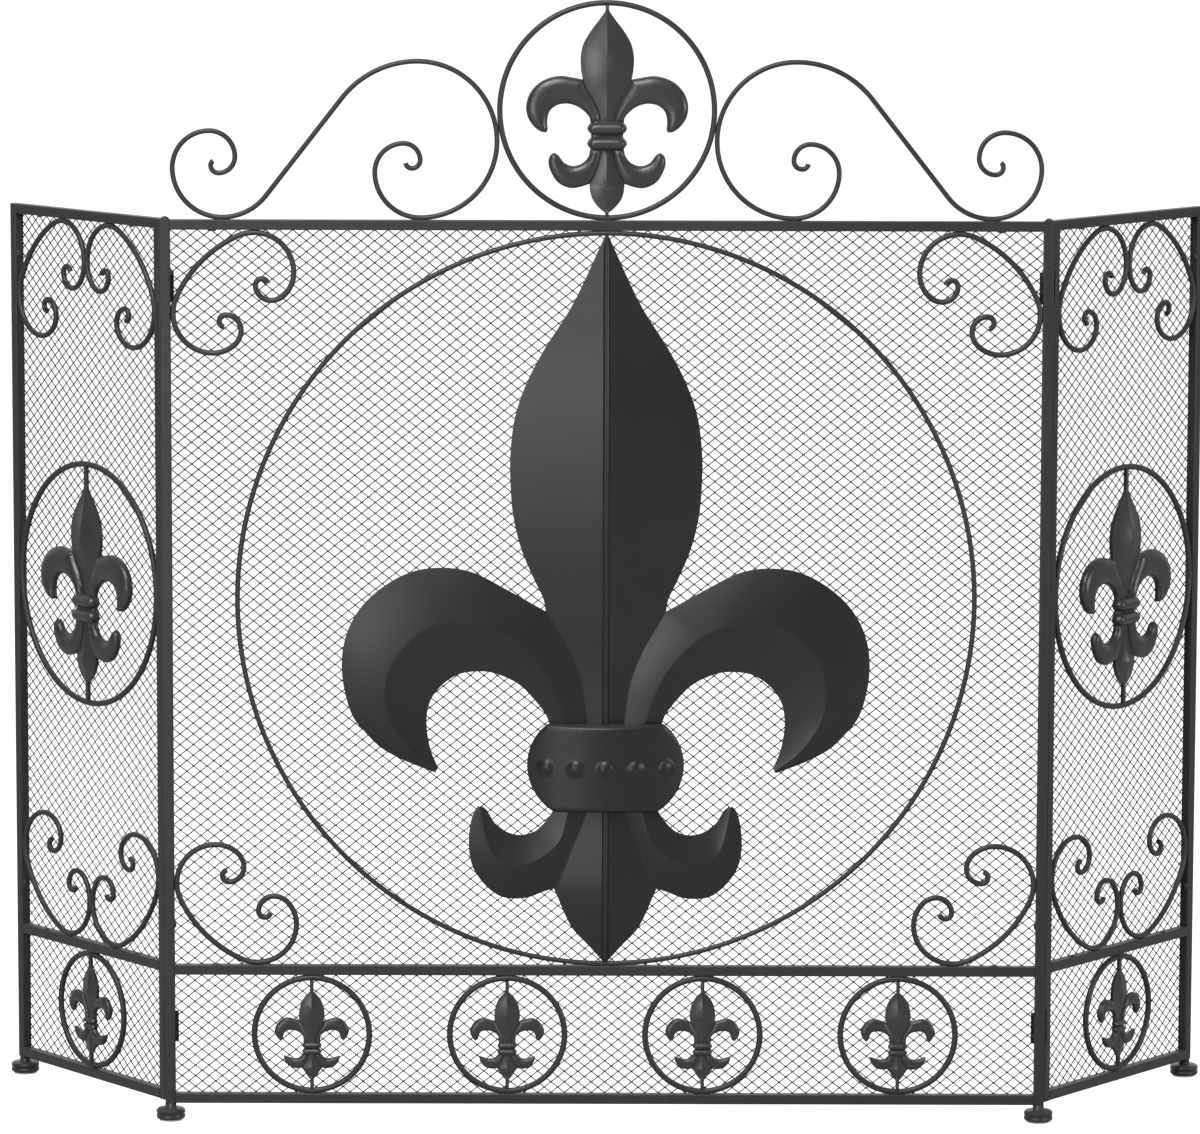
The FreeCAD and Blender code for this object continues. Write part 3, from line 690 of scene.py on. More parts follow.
    def crest(self) -> None:
        """Bend the two S-scrolls that lean on the crest ring."""
        panel = self.space.panels[0]
        low, high = (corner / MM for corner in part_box("crest_ring"))
        ring_radius, ring_z = (high.x - low.x) / 2, (high.z + low.z) / 2
        rod = self.crest_rod
        scale = (panel.half + self.space.tube - ring_radius) / self.crest_drawing
        stand = self.space.levels["top"] + rod / 2 - self.weld
        shoulder = [(r * scale, t) for r, t in self.crest_shoulder]
        reach = ring_radius + shoulder[1][0] + rod / 2 - self.weld
        middle = -math.sqrt(reach ** 2 - (ring_z - stand - shoulder[0][0]) ** 2)
        start = middle + shoulder[1][0] - shoulder[0][0]
        over = Bend(start, stand, 0.0, tuple(shoulder)).points()
        foot, bend = self.crest_outer[0][0] * scale, math.radians(self.crest_outer[0][1])
        straight = (over[-1][1] - stand - foot * (1 - math.cos(bend))) / math.sin(bend)
        ahead = (*shoulder, (0.0, straight), *((r * scale, -t) for r, t in self.crest_outer))
        behind = tuple((r * scale, -t) for r, t in self.crest_inner)
        left = [*reversed(Bend(start, stand, math.pi, behind).points()),
                *Bend(start, stand, 0.0, ahead).points()[1:]]
        for side, line in (("left", left), ("right", [(-x, z) for x, z in left])):
            node = "crest_scroll_" + side
            self.rod(node + "_rod", panel, [line], rod, [node])
        far = over[-1][0] + straight * math.cos(bend + math.pi) - foot * math.sin(bend)
        self.crest_feet = (start, far)

    def rings(self) -> None:
        """Bend all rings."""
        for panel in self.space.panels:
            if panel.prefix:
                for name in ("ring", "lower_ring"):
                    self.ring(panel.prefix + name, panel)
                continue
            for node in ("medallion_ring", "crest_ring", *("band_ring_%d" % i for i in range(1, 5))):
                self.ring(node, panel, ring_place(node))

    def bead_tree(self) -> bpy.types.NodeTree:
        """Draw the tree that sets a lumpy bead, of its own size, on every spot.

        Returns:
            The tree.
        """
        tree = Modelling("weld_beads", {"Lump": 0.5})
        ball = tree.add("GeometryNodeMeshIcoSphere", values={"Radius": 1.0, "Subdivisions": 3},
                        out="Mesh")
        shift = tree.add("ShaderNodeTexNoise", values={
            "Vector": tree.add("GeometryNodeInputPosition"), "Scale": 2.2, "Detail": 2.0})
        normal = tree.add("GeometryNodeInputNormal")
        push = tree.add("ShaderNodeVectorMath", {"operation": "SCALE"},
                        {0: normal, "Scale": (shift - 0.5) * tree.given("Lump")})
        lumpy = tree.add("GeometryNodeSetPosition", values={"Geometry": ball, "Offset": push})
        size = tree.add("GeometryNodeInputNamedAttribute", {"data_type": "FLOAT_VECTOR"},
                        {"Name": "size"})
        beads = tree.add("GeometryNodeInstanceOnPoints", values={
            "Points": tree.given("Geometry"), "Instance": lumpy, "Scale": size})
        return tree.finish(beads)

    def weld_spots(self, panel: Panel) -> list[tuple[float, float, float, float]]:
        """Find where rods meet rails and posts.

        Args:
            panel: the panel.

        Returns:
            Place, width and height of each bead in the panel's axes.
        """
        levels, half = self.space.levels, panel.half
        if panel.prefix:
            across = [(0.0, levels["band_low"]), (0.0, levels["band_high"])]
            upper = (levels["low"] + levels["high"]) / 2
            beside = [(-half, upper), (half, upper)]
        else:
            band = [ring_place("band_ring_%d" % i) for i in range(1, 5)]
            across = [(x, levels[level]) for x in band for level in ("band_low", "band_high")]
            across += [(0.0, levels["low"]), (0.0, levels["high"]), (0.0, levels["top"])]
            across += [(side * x, levels["top"]) for x in self.crest_feet for side in (1, -1)]
            beside = []
        long, short = self.joint_bead
        spots = [(x, z, long, short) for x, z in across]
        spots += [(x, z, short, long) for x, z in beside]
        long, short = self.scroll_bead
        for z, up in ((levels["low"], 1), (levels["high"], -1)):
            for side in (1, -1):
                spots.append((side * (half - self.scroll_touch), z, long, short))
                spots.append((side * half, z + up * self.scroll_touch, short, long))
        return spots

    def welds(self) -> None:
        """Run small weld beads where rods meet rails and posts."""
        group = self.bead_tree()
        for panel in self.space.panels:
            spots = self.weld_spots(panel)
            mesh = bpy.data.meshes.new(panel.body + "_spots")
            places = [panel.to_world @ Vector((x, self.bead_depth, z)) for x, z, _, _ in spots]
            mesh.from_pydata(places, [], [])
            sizes = mesh.attributes.new("size", "FLOAT_VECTOR", "POINT")
            turn = panel.to_world.to_3x3().normalized()
            for i, (_, _, wide, tall) in enumerate(spots):
                along = turn @ Vector((wide, 0, 0))
                sizes.data[i].vector = (max(abs(along.x), self.least_bead) * MM,
                                        max(abs(along.y), self.least_bead) * MM, tall * MM)
            piece = grown((panel.prefix or "centre_") + "weld_beads", mesh, group,
                          {"Finish": self.shop.pots[Slot.FRAME]})
            self.shop.coat(piece, Slot.FRAME)
            hand_over(piece, panel.body, [])


def ring_place(node: str) -> float:
    """Centre of a ring along the centre panel, in mm."""
    low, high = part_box(node)
    return (low.x + high.x) / 2 / MM


def ring_rod(node: str) -> float:
    """Rod diameter of a ring.

    Args:
        node: the ring; the wings' are bent from the same rod as the band's.

    Returns:
        The diameter in mm.
    """
    low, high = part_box(node if node in ("medallion_ring", "crest_ring") else "band_ring_1")
    return round((high.y - low.y) / MM, 1)


def hand_over(piece: bpy.types.Object, body: str, nodes: Sequence[str]) -> None:
    """Let a piece ride on its body and stand for its CAD nodes.

    Args:
        piece: the finished piece.
        body: the body that carries it.
        nodes: CAD nodes that it replaces; none for a detail that is added.
    """
    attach(piece, body)
    if nodes:
        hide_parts(*nodes)
    LOG.info("%s: %d faces on %s", piece.name, len(piece.data.polygons), body)


# ------------------------------------------------------------------ woven mesh
@dataclass
class Weaver:
    """Diamond mesh behind the rods: clipped wires with a pressed bond at each crossing."""

    shop: Paintshop
    space: Surroundings
    diamond_wide: float = 10.7
    diamond_tall: float = 8.6
    wire: float = 0.43
    bond: tuple[float, float, float] = (1.3, 0.5, 0.72)
    cross: float = 0.13
    depth: float = 7.35

    def __post_init__(self) -> None:
        """Draw the tree."""
        tree = Modelling("diamond_mesh", {
            "Width": 600.0, "Height": 500.0, "Diamond Width": self.diamond_wide,
            "Diamond Height": self.diamond_tall, "Wire Radius": self.wire})
        width, height = tree.given("Width"), tree.given("Height")
        wide, tall = tree.given("Diamond Width"), tree.given("Diamond Height")
        parts = [self.wires(tree, width, height, wide, tall, lean) for lean in (1.0, -1.0)]
        parts += [self.bonds(tree, width, height, wide, tall, shift) for shift in (0.0, 0.5)]
        joined = self.join(tree, parts)
        self.group = tree.finish(joined)

    @staticmethod
    def join(tree: Modelling, parts: list[Link]) -> Link:
        """Join geometries.

        Args:
            tree: the tree to add to.
            parts: what to join, in order.

        Returns:
            The joined geometry.
        """
        node = tree.tree.nodes.new("GeometryNodeJoinGeometry")
        for part in reversed(parts):
            tree.tree.links.new(part.socket, node.inputs[0])
        return Link(tree.tree, node.outputs[0])

    def wires(self, tree: Modelling, width: Link, height: Link, wide: Link, tall: Link,
              lean: float) -> Link:
        """One family of parallel wires, each clipped to the opening.

        Args:
            tree: the tree to add to.
            width, height: the opening.
            wide, tall: one diamond.
            lean: 1 for wires that rise to the right, -1 for the others.

        Returns:
            Instances of a unit wire.
        """
        slope = tall / wide
        reach = ((width * 0.5 * slope) / tall).floor()
        count = reach * 2.0 + (height / tall).floor() + 1.0
        points = tree.add("GeometryNodeMeshLine", {"mode": "OFFSET"}, {"Count": count}, out="Mesh")
        index = tree.add("GeometryNodeInputIndex")
        offset = (index - reach) * tall
        start = (width * -0.5).most((offset * -1.0) / slope)
        end = (width * 0.5).least((height - offset) / slope)
        length = (end - start).most(0.001) * (1.0 + slope * slope) ** 0.5
        middle = (start + end) * 0.5
        spot = tree.add("ShaderNodeCombineXYZ", values={
            "X": middle * lean, "Y": self.cross * lean, "Z": offset + middle * slope})
        placed = tree.add("GeometryNodeSetPosition", values={"Geometry": points, "Position": spot})
        unit = tree.add("GeometryNodeMeshCylinder", values={
            "Vertices": 6, "Radius": 1.0, "Depth": 1.0}, out="Mesh")
        tilt = slope.math("ARCTANGENT", slope)
        angle = math.pi / 2 - tilt if lean > 0 else tilt - math.pi / 2
        turn = tree.add("ShaderNodeCombineXYZ", values={"Y": angle})
        rotation = tree.add("FunctionNodeEulerToRotation", values={0: turn})
        thick = tree.given("Wire Radius")
        size = tree.add("ShaderNodeCombineXYZ", values={"X": thick, "Y": thick, "Z": length})
        return tree.add("GeometryNodeInstanceOnPoints", values={
            "Points": placed, "Instance": unit, "Rotation": rotation, "Scale": size})

    def bonds(self, tree: Modelling, width: Link, height: Link, wide: Link, tall: Link,
              shift: float) -> Link:
        """One lattice of bonds; the second is half a diamond over and up.

        Args:
            tree: the tree to add to.
            width, height: the opening.
            wide, tall: one diamond.
            shift: 0 or 0.5 diamond.

        Returns:
            Instances of a flattened ball.
        """
        half = (width * 0.5 / wide - shift).floor()
        across = half * 2.0 + (1.0 + 2 * shift)
        rows = (height / tall - shift).floor() + 1.0
        span_x, span_z = (across - 1.0) * wide, (rows - 1.0) * tall
        grid = tree.add("GeometryNodeMeshGrid", values={
            "Size X": span_x, "Size Y": span_z, "Vertices X": across, "Vertices Y": rows}, out="Mesh")
        position = tree.add("GeometryNodeInputPosition")
        x = tree.add("ShaderNodeSeparateXYZ", values={0: position}, out="X")
        y = tree.add("ShaderNodeSeparateXYZ", values={0: position}, out="Y")
        upright = tree.add("ShaderNodeCombineXYZ", values={
            "X": x, "Z": y + span_z * 0.5 + tall * shift})
        stood = tree.add("GeometryNodeSetPosition", values={"Geometry": grid, "Position": upright})
        ball = tree.add("GeometryNodeMeshIcoSphere", values={"Radius": 1.0, "Subdivisions": 1},
                        out="Mesh")
        return tree.add("GeometryNodeInstanceOnPoints", values={
            "Points": stood, "Instance": ball, "Scale": self.bond})

    def weave(self) -> None:
        """Fill the upper and lower opening of every panel."""
        levels = self.space.levels
        for panel in self.space.panels:
            for part, low, high in (("upper", "low", "high"), ("lower", "band_low", "band_high")):
                name = (panel.prefix or "centre_") + part + "_mesh"
                piece = grown(name, None, self.group, {
                    "Width": 2 * panel.half, "Height": levels[high] - levels[low],
                    "Diamond Width": self.diamond_wide, "Diamond Height": self.diamond_tall,
                    "Wire Radius": self.wire, "Finish": self.shop.pots[Slot.MESH]})
                piece.data.transform(Matrix.Translation((0, self.depth, levels[low])))
                panel.place(piece.data)
                self.shop.coat(piece, Slot.MESH)
                hand_over(piece, panel.body, [(panel.prefix or "centre_") + "mesh"])


# ------------------------------------------------------------------ castings
class Relief(Enum):
    """Cross-section of a cast part above its plate."""

    ROOF = "roof"
    PILLOW = "pillow"


@dataclass(frozen=True)
class CastPart:
    """One part of a casting: right half of its outline, and how it stands off the plate.

    It rises to its height over its width, counted inwards from the outline.
    """

    runs: tuple[Run, ...]
    relief: Relief
    height: float
    width: float
    middle: bool

    def outlines(self, step: float) -> list[np.ndarray]:
        """Closed outlines: one across the middle, or a right and a left one.

        Args:
            step: spacing of their points.

        Returns:
            The outlines.
        """
        line: list[Point] = []
        for run in self.runs:
            line += smooth_run(run, step)[0 if not line else 1:]
        right = np.array(line)
        left = right[::-1] * (-1, 1)
        if self.middle:
            return [tidy_loop(np.vstack([right, left]))]
        return [tidy_loop(right), tidy_loop(left)]


def tidy_loop(line: np.ndarray) -> np.ndarray:
    """Drop points of a closed loop that fall on the one before."""
    gap = np.linalg.norm(line - np.roll(line, 1, axis=0), axis=1)
    return line[gap > 0.05]


def inside(points: np.ndarray, loop: np.ndarray) -> np.ndarray:
    """Which points lie inside a closed loop, by the even-odd rule.

    Args:
        points: the points.
        loop: the loop.

    Returns:
        True for each point inside.
    """
    x, z = points[:, 0][:, None], points[:, 1][:, None]
    ax, az = loop[:, 0], loop[:, 1]
    bx, bz = np.roll(ax, -1), np.roll(az, -1)
    crosses = (az > z) != (bz > z)
    with np.errstate(divide="ignore", invalid="ignore"):
        at = ax + (z - az) * (bx - ax) / (bz - az)
    return (np.where(crosses, x < at, False).sum(axis=1) % 2) == 1


def edge_distance(points: np.ndarray, loop: np.ndarray) -> np.ndarray:
    """Distance from points to a closed loop.

    Args:
        points: the points.
        loop: the loop.

    Returns:
        One distance for each point.
    """
    a, b = loop, np.roll(loop, -1, axis=0)
    along = b - a
    t = np.einsum("pij,ij->pi", points[:, None] - a, along) / np.maximum((along ** 2).sum(1), 1e-9)
    near = a + np.clip(t, 0, 1)[..., None] * along
    return np.linalg.norm(points[:, None] - near, axis=2).min(axis=1)


BLADE_NECK = [(19.1, 24.3), (15.2, 16), (10.6, 8.7), (7.5, 2), (5.6, -3), (4.8, -9.5)]
LOWER_NECK = [(3.8, -29.5), (6.5, -42), (10.5, -52), (13.7, -57.2)]
LARGE_FLEUR = (
    CastPart((
        [(0, 79.6), (6.4, 70.6), (13.2, 61.6), (18.8, 51.5), (20.8, 41.4), (20.5, 32.4), (19.1, 24.3)],
        BLADE_NECK), Relief.ROOF, 5.6, 22.0, True),
    CastPart((
        [(19.1, 24.3), (27.8, 25.9), (35.6, 27), (44.6, 25.6), (53.6, 21.1), (60.4, 13.3),
         (63.2, 4.3), (62.1, -4.7), (57, -12.6), (51.4, -16.5), (47.4, -17.1)],
        [(47.4, -17.1), (46.3, -14.8)],
        [(46.3, -14.8), (46.7, -8.1), (45.2, -1.3), (40.1, 3.7), (32.3, 5.4), (24.4, 3.7),
         (17.7, -0.8), (13.7, -5.8), (13.2, -9.5)],
        [(13.2, -9.5), (4.8, -9.5)],
        BLADE_NECK[::-1]), Relief.PILLOW, 4.4, 8.5, False),
    CastPart((
        LOWER_NECK, [(13.7, -57.2), (13.2, -63.2), (10.9, -69.9), (6.4, -75.5), (2.5, -78.9), (0, -80)]),
        Relief.ROOF, 4.6, 14.5, True),
    CastPart((
        [(13.2, -29.5), (14.3, -35.1), (18.8, -40.7), (26.6, -43.2), (33.4, -40.7), (37.9, -35.1),
         (41.3, -32.8)],
        [(41.3, -32.8), (44.6, -35.1), (45.8, -40.7), (43.5, -48.6), (37.9, -56.4), (28.9, -60.4),
         (21, -59.6), (13.7, -57.2)],
        LOWER_NECK[::-1], [(3.8, -29.5), (13.2, -29.5)]), Relief.PILLOW, 3.6, 8.0, False),
    CastPart(([(12.6, -9.0), (12.6, -30.2)],), Relief.PILLOW, 2.2, 8.0, True),
    *(CastPart((
        [(0, z + 5.5), (8.5, z + 5.4), (13.0, z + 4.2), (15.6, z), (13.0, z - 4.2),
         (8.5, z - 5.4), (0, z - 5.5)],), Relief.PILLOW, 6.6, 5.6, True) for z in (-13.7, -25.5)),
)

SMALL_BLADE_NECK = [(9.5, 10.9), (7.4, 6.5), (4.6, 1.5), (3.0, -3.0), (2.6, -7.0)]
SMALL_LOWER_NECK = [(2.2, -15.2), (3.4, -20.5), (6.0, -24.5), (8.2, -27)]
SMALL_FLEUR = (
    CastPart((
        [(0, 35.5), (4.3, 31.9), (8.2, 26), (9.9, 19.4), (10.2, 14.2), (9.5, 10.9)],
        SMALL_BLADE_NECK), Relief.ROOF, 2.8, 10.8, True),
    CastPart((
        [(9.5, 10.9), (15.5, 12.8), (20.1, 13.5), (24.7, 11.5), (28, 7.6), (29.6, 3), (28, -1.7),
         (25.3, -4.9)],
        [(25.3, -4.9), (23, -3)],
        [(23, -3), (22.4, -0.3), (20.7, 2.6), (16.1, 3.6), (10.9, 2.3), (7.2, -1), (6.6, -7.0)],
        [(6.6, -7.0), (2.6, -7.0)],
        SMALL_BLADE_NECK[::-1]), Relief.PILLOW, 2.1, 4.6, False),
    CastPart((
        SMALL_LOWER_NECK, [(8.2, -27), (6.9, -28.6), (4.3, -32.6), (1.6, -35.9), (0, -36.5)]),
        Relief.ROOF, 2.2, 8.4, True),
    CastPart((
        [(6.6, -15.2), (10.2, -18.8), (14.8, -19.4), (19.4, -18.1), (22.4, -17.1)],
        [(22.4, -17.1), (21.4, -21.4), (17.4, -26), (12.8, -27.3), (8.2, -27)],
        SMALL_LOWER_NECK[::-1], [(2.2, -15.2), (6.6, -15.2)]), Relief.PILLOW, 1.8, 3.8, False),
    CastPart(([(6.2, -6.8), (6.2, -15.4)],), Relief.PILLOW, 1.0, 4.0, True),
    *(CastPart((
        [(0, z + 2.5), (4.6, z + 2.4), (6.6, z + 1.8), (7.8, z), (6.6, z - 1.8), (4.6, z - 2.4),
         (0, z - 2.5)],), Relief.PILLOW, 3.0, 2.5, True) for z in (-8.7, -13.7)),
)


@dataclass
class Foundry:
    """Casts the fleurs-de-lis: a plate with roofed blades, rounded curls and collar beads."""

    shop: Paintshop
    space: Surroundings
    back: float = 2.5
    stem_wide: float = 2.9
    stem_rise: float = 0.9
    stem_past_ring: float = 0.6
    stem_into_blade: float = 1.6
    roof_ease: float = 0.35

    def cast(self, node: str, panel: Panel, x: float, z: float, parts: tuple[CastPart, ...],
             ring: float, front: float, step: float) -> None:
        """Cast one fleur-de-lis about its ring's centre.

        Args:
            node: CAD node that it replaces.
            panel: the panel that carries it.
            x, z: the ring's centre in the panel's axes.
            parts: its parts.
            ring: inner radius of the ring, which the stems reach.
            front: face of the plate.
            step: spacing of the mesh.
        """
        loops = [(loop, part) for part in parts for loop in part.outlines(step)]
        tip = max(loop[:, 1].max() for loop, _ in loops)
        root = min(loop[:, 1].min() for loop, _ in loops)
        half = self.stem_wide / 2
        stem = CastPart(([(half, 1.0), (half, 0.0)],), Relief.PILLOW, self.stem_rise, half, True)
        end, sunk = ring + self.stem_past_ring, half * self.stem_into_blade
        for high, low in ((end, tip - sunk), (root + sunk, -end)):
            bar = np.array([(half, high), (half, low), (-half, low), (-half, high)])
            loops.append((np.vstack([smooth_run((a, b), step)[:-1] for a, b in
                                     zip(bar, np.roll(bar, -1, axis=0))]), stem))
        verts, faces = self.panes(loops, step)
        rise = np.zeros(len(verts))
        for loop, part in loops:
            within = inside(verts, loop)
            depth = edge_distance(verts, loop)
            t = np.clip(depth / part.width, 0, 1)
            if part.relief is Relief.ROOF:
                shape = (self.roof_ease + (1 - self.roof_ease) * t) * t
            else:
                shape = np.sqrt(1 - (1 - t) ** 2)
            rise = np.where(within, np.maximum(rise, shape * part.height), rise)
        self.solid(node, panel, verts + (x, z), front - rise, faces)

    @staticmethod
    def panes(loops: list[tuple[np.ndarray, CastPart]],
              step: float) -> tuple[np.ndarray, list[list[int]]]:
        """Triangulate the union of the outlines.

        Args:
            loops: outlines with their parts.
            step: spacing of inner points.

        Returns:
            Vertices and triangles.
        """
        low = np.min([loop.min(axis=0) for loop, _ in loops], axis=0)
        high = np.max([loop.max(axis=0) for loop, _ in loops], axis=0)
        rows = np.arange(low[1], high[1], step * ROW_STEP)
        grid = np.array([(gx + (step / 2 if i % 2 else 0), gz) for i, gz in enumerate(rows)
                         for gx in np.arange(low[0], high[0], step)])
        keep = np.zeros(len(grid), bool)
        clear = np.full(len(grid), np.inf)
        for loop, _ in loops:
            keep |= inside(grid, loop)
            clear = np.minimum(clear, edge_distance(grid, loop))
        gap = step * CLEAR_STEP
        grid = grid[keep & (clear > gap) & (np.abs(grid[:, 0]) > gap)]
        points = [Vector(p) for p in grid]
        spine = [Vector((0, z)) for z in np.arange(low[1], high[1], step)]
        edges = [(len(points) + i, len(points) + i + 1) for i in range(len(spine) - 1)]
        points += spine
        for loop, _ in loops:
            first = len(points)
            points += [Vector(p) for p in loop]
            edges += [(first + i, first + (i + 1) % len(loop)) for i in range(len(loop))]
        verts, _, faces, *_ = delaunay_2d_cdt(points, edges, [], 0, WELD_GAP)
        flat = np.array([tuple(v) for v in verts])
        middles = np.array([flat[list(face)].mean(axis=0) for face in faces])
        solid = np.zeros(len(faces), bool)
        for loop, _ in loops:
            solid |= inside(middles, loop)
        return flat, [list(face) for face, ok in zip(faces, solid) if ok]

    def solid(self, node: str, panel: Panel, flat: np.ndarray, y: np.ndarray,
              faces: list[list[int]]) -> None:
        """Close a height field with a flat back and hand the piece over.

        Args:
            node: CAD node that it replaces.
            panel: the panel that carries it.
            flat: its vertices, across and up.
            y: depth of each vertex.
            faces: its faces.
        """
        front = np.column_stack([flat[:, 0], y, flat[:, 1]])
        rear = np.column_stack([flat[:, 0], np.full(len(flat), self.back), flat[:, 1]])
        piece = close_sheet(node + "_casting", front, rear, faces, 38.0)
        panel.place(piece.data)
        self.shop.coat(piece, Slot.CAST)
        hand_over(piece, panel.body, [node])

    def pour(self) -> None:
        """Cast every fleur-de-lis."""
        centre, *wings = self.space.panels
        jobs = [("crest_fleur", centre, "crest_ring", LARGE_FLEUR, -0.5, 1.1)]
        jobs += [("band_fleur_%d" % i, centre, "band_ring_%d" % i, SMALL_FLEUR, 0.0, 0.8)
                 for i in range(1, 5)]
        for wing in wings:
            jobs.append((wing.prefix + "fleur", wing, wing.prefix + "ring", LARGE_FLEUR, -0.5, 1.1))
            jobs.append((wing.prefix + "lower_fleur", wing, wing.prefix + "lower_ring", SMALL_FLEUR,
                         0.0, 0.9))
        for node, panel, ring, parts, front, step in jobs:
            low, high = (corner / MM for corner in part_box(ring))
            x = 0.0 if panel.prefix else (low.x + high.x) / 2
            inner = (high.z - low.z) / 2 - ring_rod(ring)
            self.cast(node, panel, x, (low.z + high.z) / 2, parts, inner, front, step)


# ------------------------------------------------------------------ pressed medallion
BLADE_TOP = ((289.5, 1), (234, 27), (199, 49), (172, 63), (145, 72), (115, 75.5), (98, 75.5),
             (70, 73.5), (42, 67), (18, 57), (1, 49), (-8, 47.5))
NECK = ((-8, 47.5), (-41.5, 28.4), (-65, 19.6), (-94, 15.2), (-108, 13.5))
LOWER_NECK_ROWS = ((-160, 14), (-169, 15.7), (-200, 28.5), (-230, 40.8))
BLADE_FOOT = ((-230, 40.8), (-262, 26), (-276, 13), (-289.5, 1))
CURL_EDGE = ((47.5, -8), (78, 9), (103, 22), (120, 26), (143, 25.5), (161, 20), (181, 7), (193, -5),
             (203, -22), (208, -42), (207.5, -65), (200, -92), (190, -105), (178, -117),
             (160, -127), (140, -135), (134.5, -137))
CURL_CREASE_A = ((72.5, -30, 7.5), (53.4, -49, 6), (40.2, -71, 5), (32.8, -93, 4), (27, -108, 3))
CURL_CREASE_B = ((72.5, -30, 7.5), (94.5, -19, 8), (116.5, -16.5, 8), (137, -19, 8), (156, -33, 8),
                 (169, -50, 7.5), (174, -71, 6.5), (171, -93, 5), (162, -109, 4), (149, -124, 2.5),
                 (133.5, -135, 0.6))
CURL_INNER_A = ((69, -66), (55, -80), (47, -91), (44, -99), (41, -108))
CURL_INNER_B = ((69, -66), (86, -58), (97, -56), (115, -58), (127, -65), (136, -75), (140, -84),
                (141.5, -95), (141, -105), (138, -120), (132.5, -133))
ROOT_EDGE = ((40.8, -230), (50, -233), (62, -237.5), (80, -237.5), (89, -233), (99, -223),
             (105, -213), (108, -200), (107.5, -182), (104, -168), (100.5, -163.5))
ROOT_CREASE_A = ((27, -160, 2), (30, -170, 3), (36, -190.5, 4), (48.7, -203, 5))
ROOT_CREASE_B = ((48.7, -203, 5), (61, -209, 5), (77, -209, 4.5), (88, -203, 3.5), (94, -190.5, 2.5),
                 (99, -165, 0.6))
ROOT_INNER_A = ((40, -160), (42, -168), (52, -181), (58, -185))
ROOT_INNER_B = ((58, -185), (68, -187), (78, -184.5), (87, -178), (94, -167), (97.5, -164))


def spaced(points: Sequence[Sequence[float]], count: int) -> np.ndarray:
    """Points spread evenly in length over a smooth run.

    Args:
        points: the run; a third figure is its rise in front of the sheet's edges.
        count: how many points to return.

    Returns:
        Rows of across, height and rise.
    """
    flat = np.array(smooth_run([p[:2] for p in points], 1.0))
    along = np.r_[0, np.cumsum(np.linalg.norm(np.diff(flat, axis=0), axis=1))]
    at = np.linspace(0, along[-1], count)
    stops = [np.argmin(np.linalg.norm(flat - p[:2], axis=1)) for p in points]
    rises = [p[2] if len(p) > 2 else 0.0 for p in points]
    rise = np.interp(at, along[stops], rises)
    return np.column_stack([np.interp(at, along, flat[:, 0]), np.interp(at, along, flat[:, 1]), rise])


def joined(first: Sequence[Sequence[float]], second: Sequence[Sequence[float]], count: int,
           more: int) -> tuple[np.ndarray, np.ndarray]:
    """Two runs that meet in one smooth line.

    Args:
        first: run that ends where the second starts.
        second: the run that goes on.
        count, more: points for each.

    Returns:
        Rows of across, height and rise for each.
    """
    whole = spaced([*first, *second[1:]], 20 * (count + more))
    split = int(np.argmin(np.linalg.norm(whole[:, :2] - second[0][:2], axis=1)))
    return (whole[np.linspace(0, split, count).round().astype(int)],
            whole[np.linspace(split, len(whole) - 1, more).round().astype(int)])


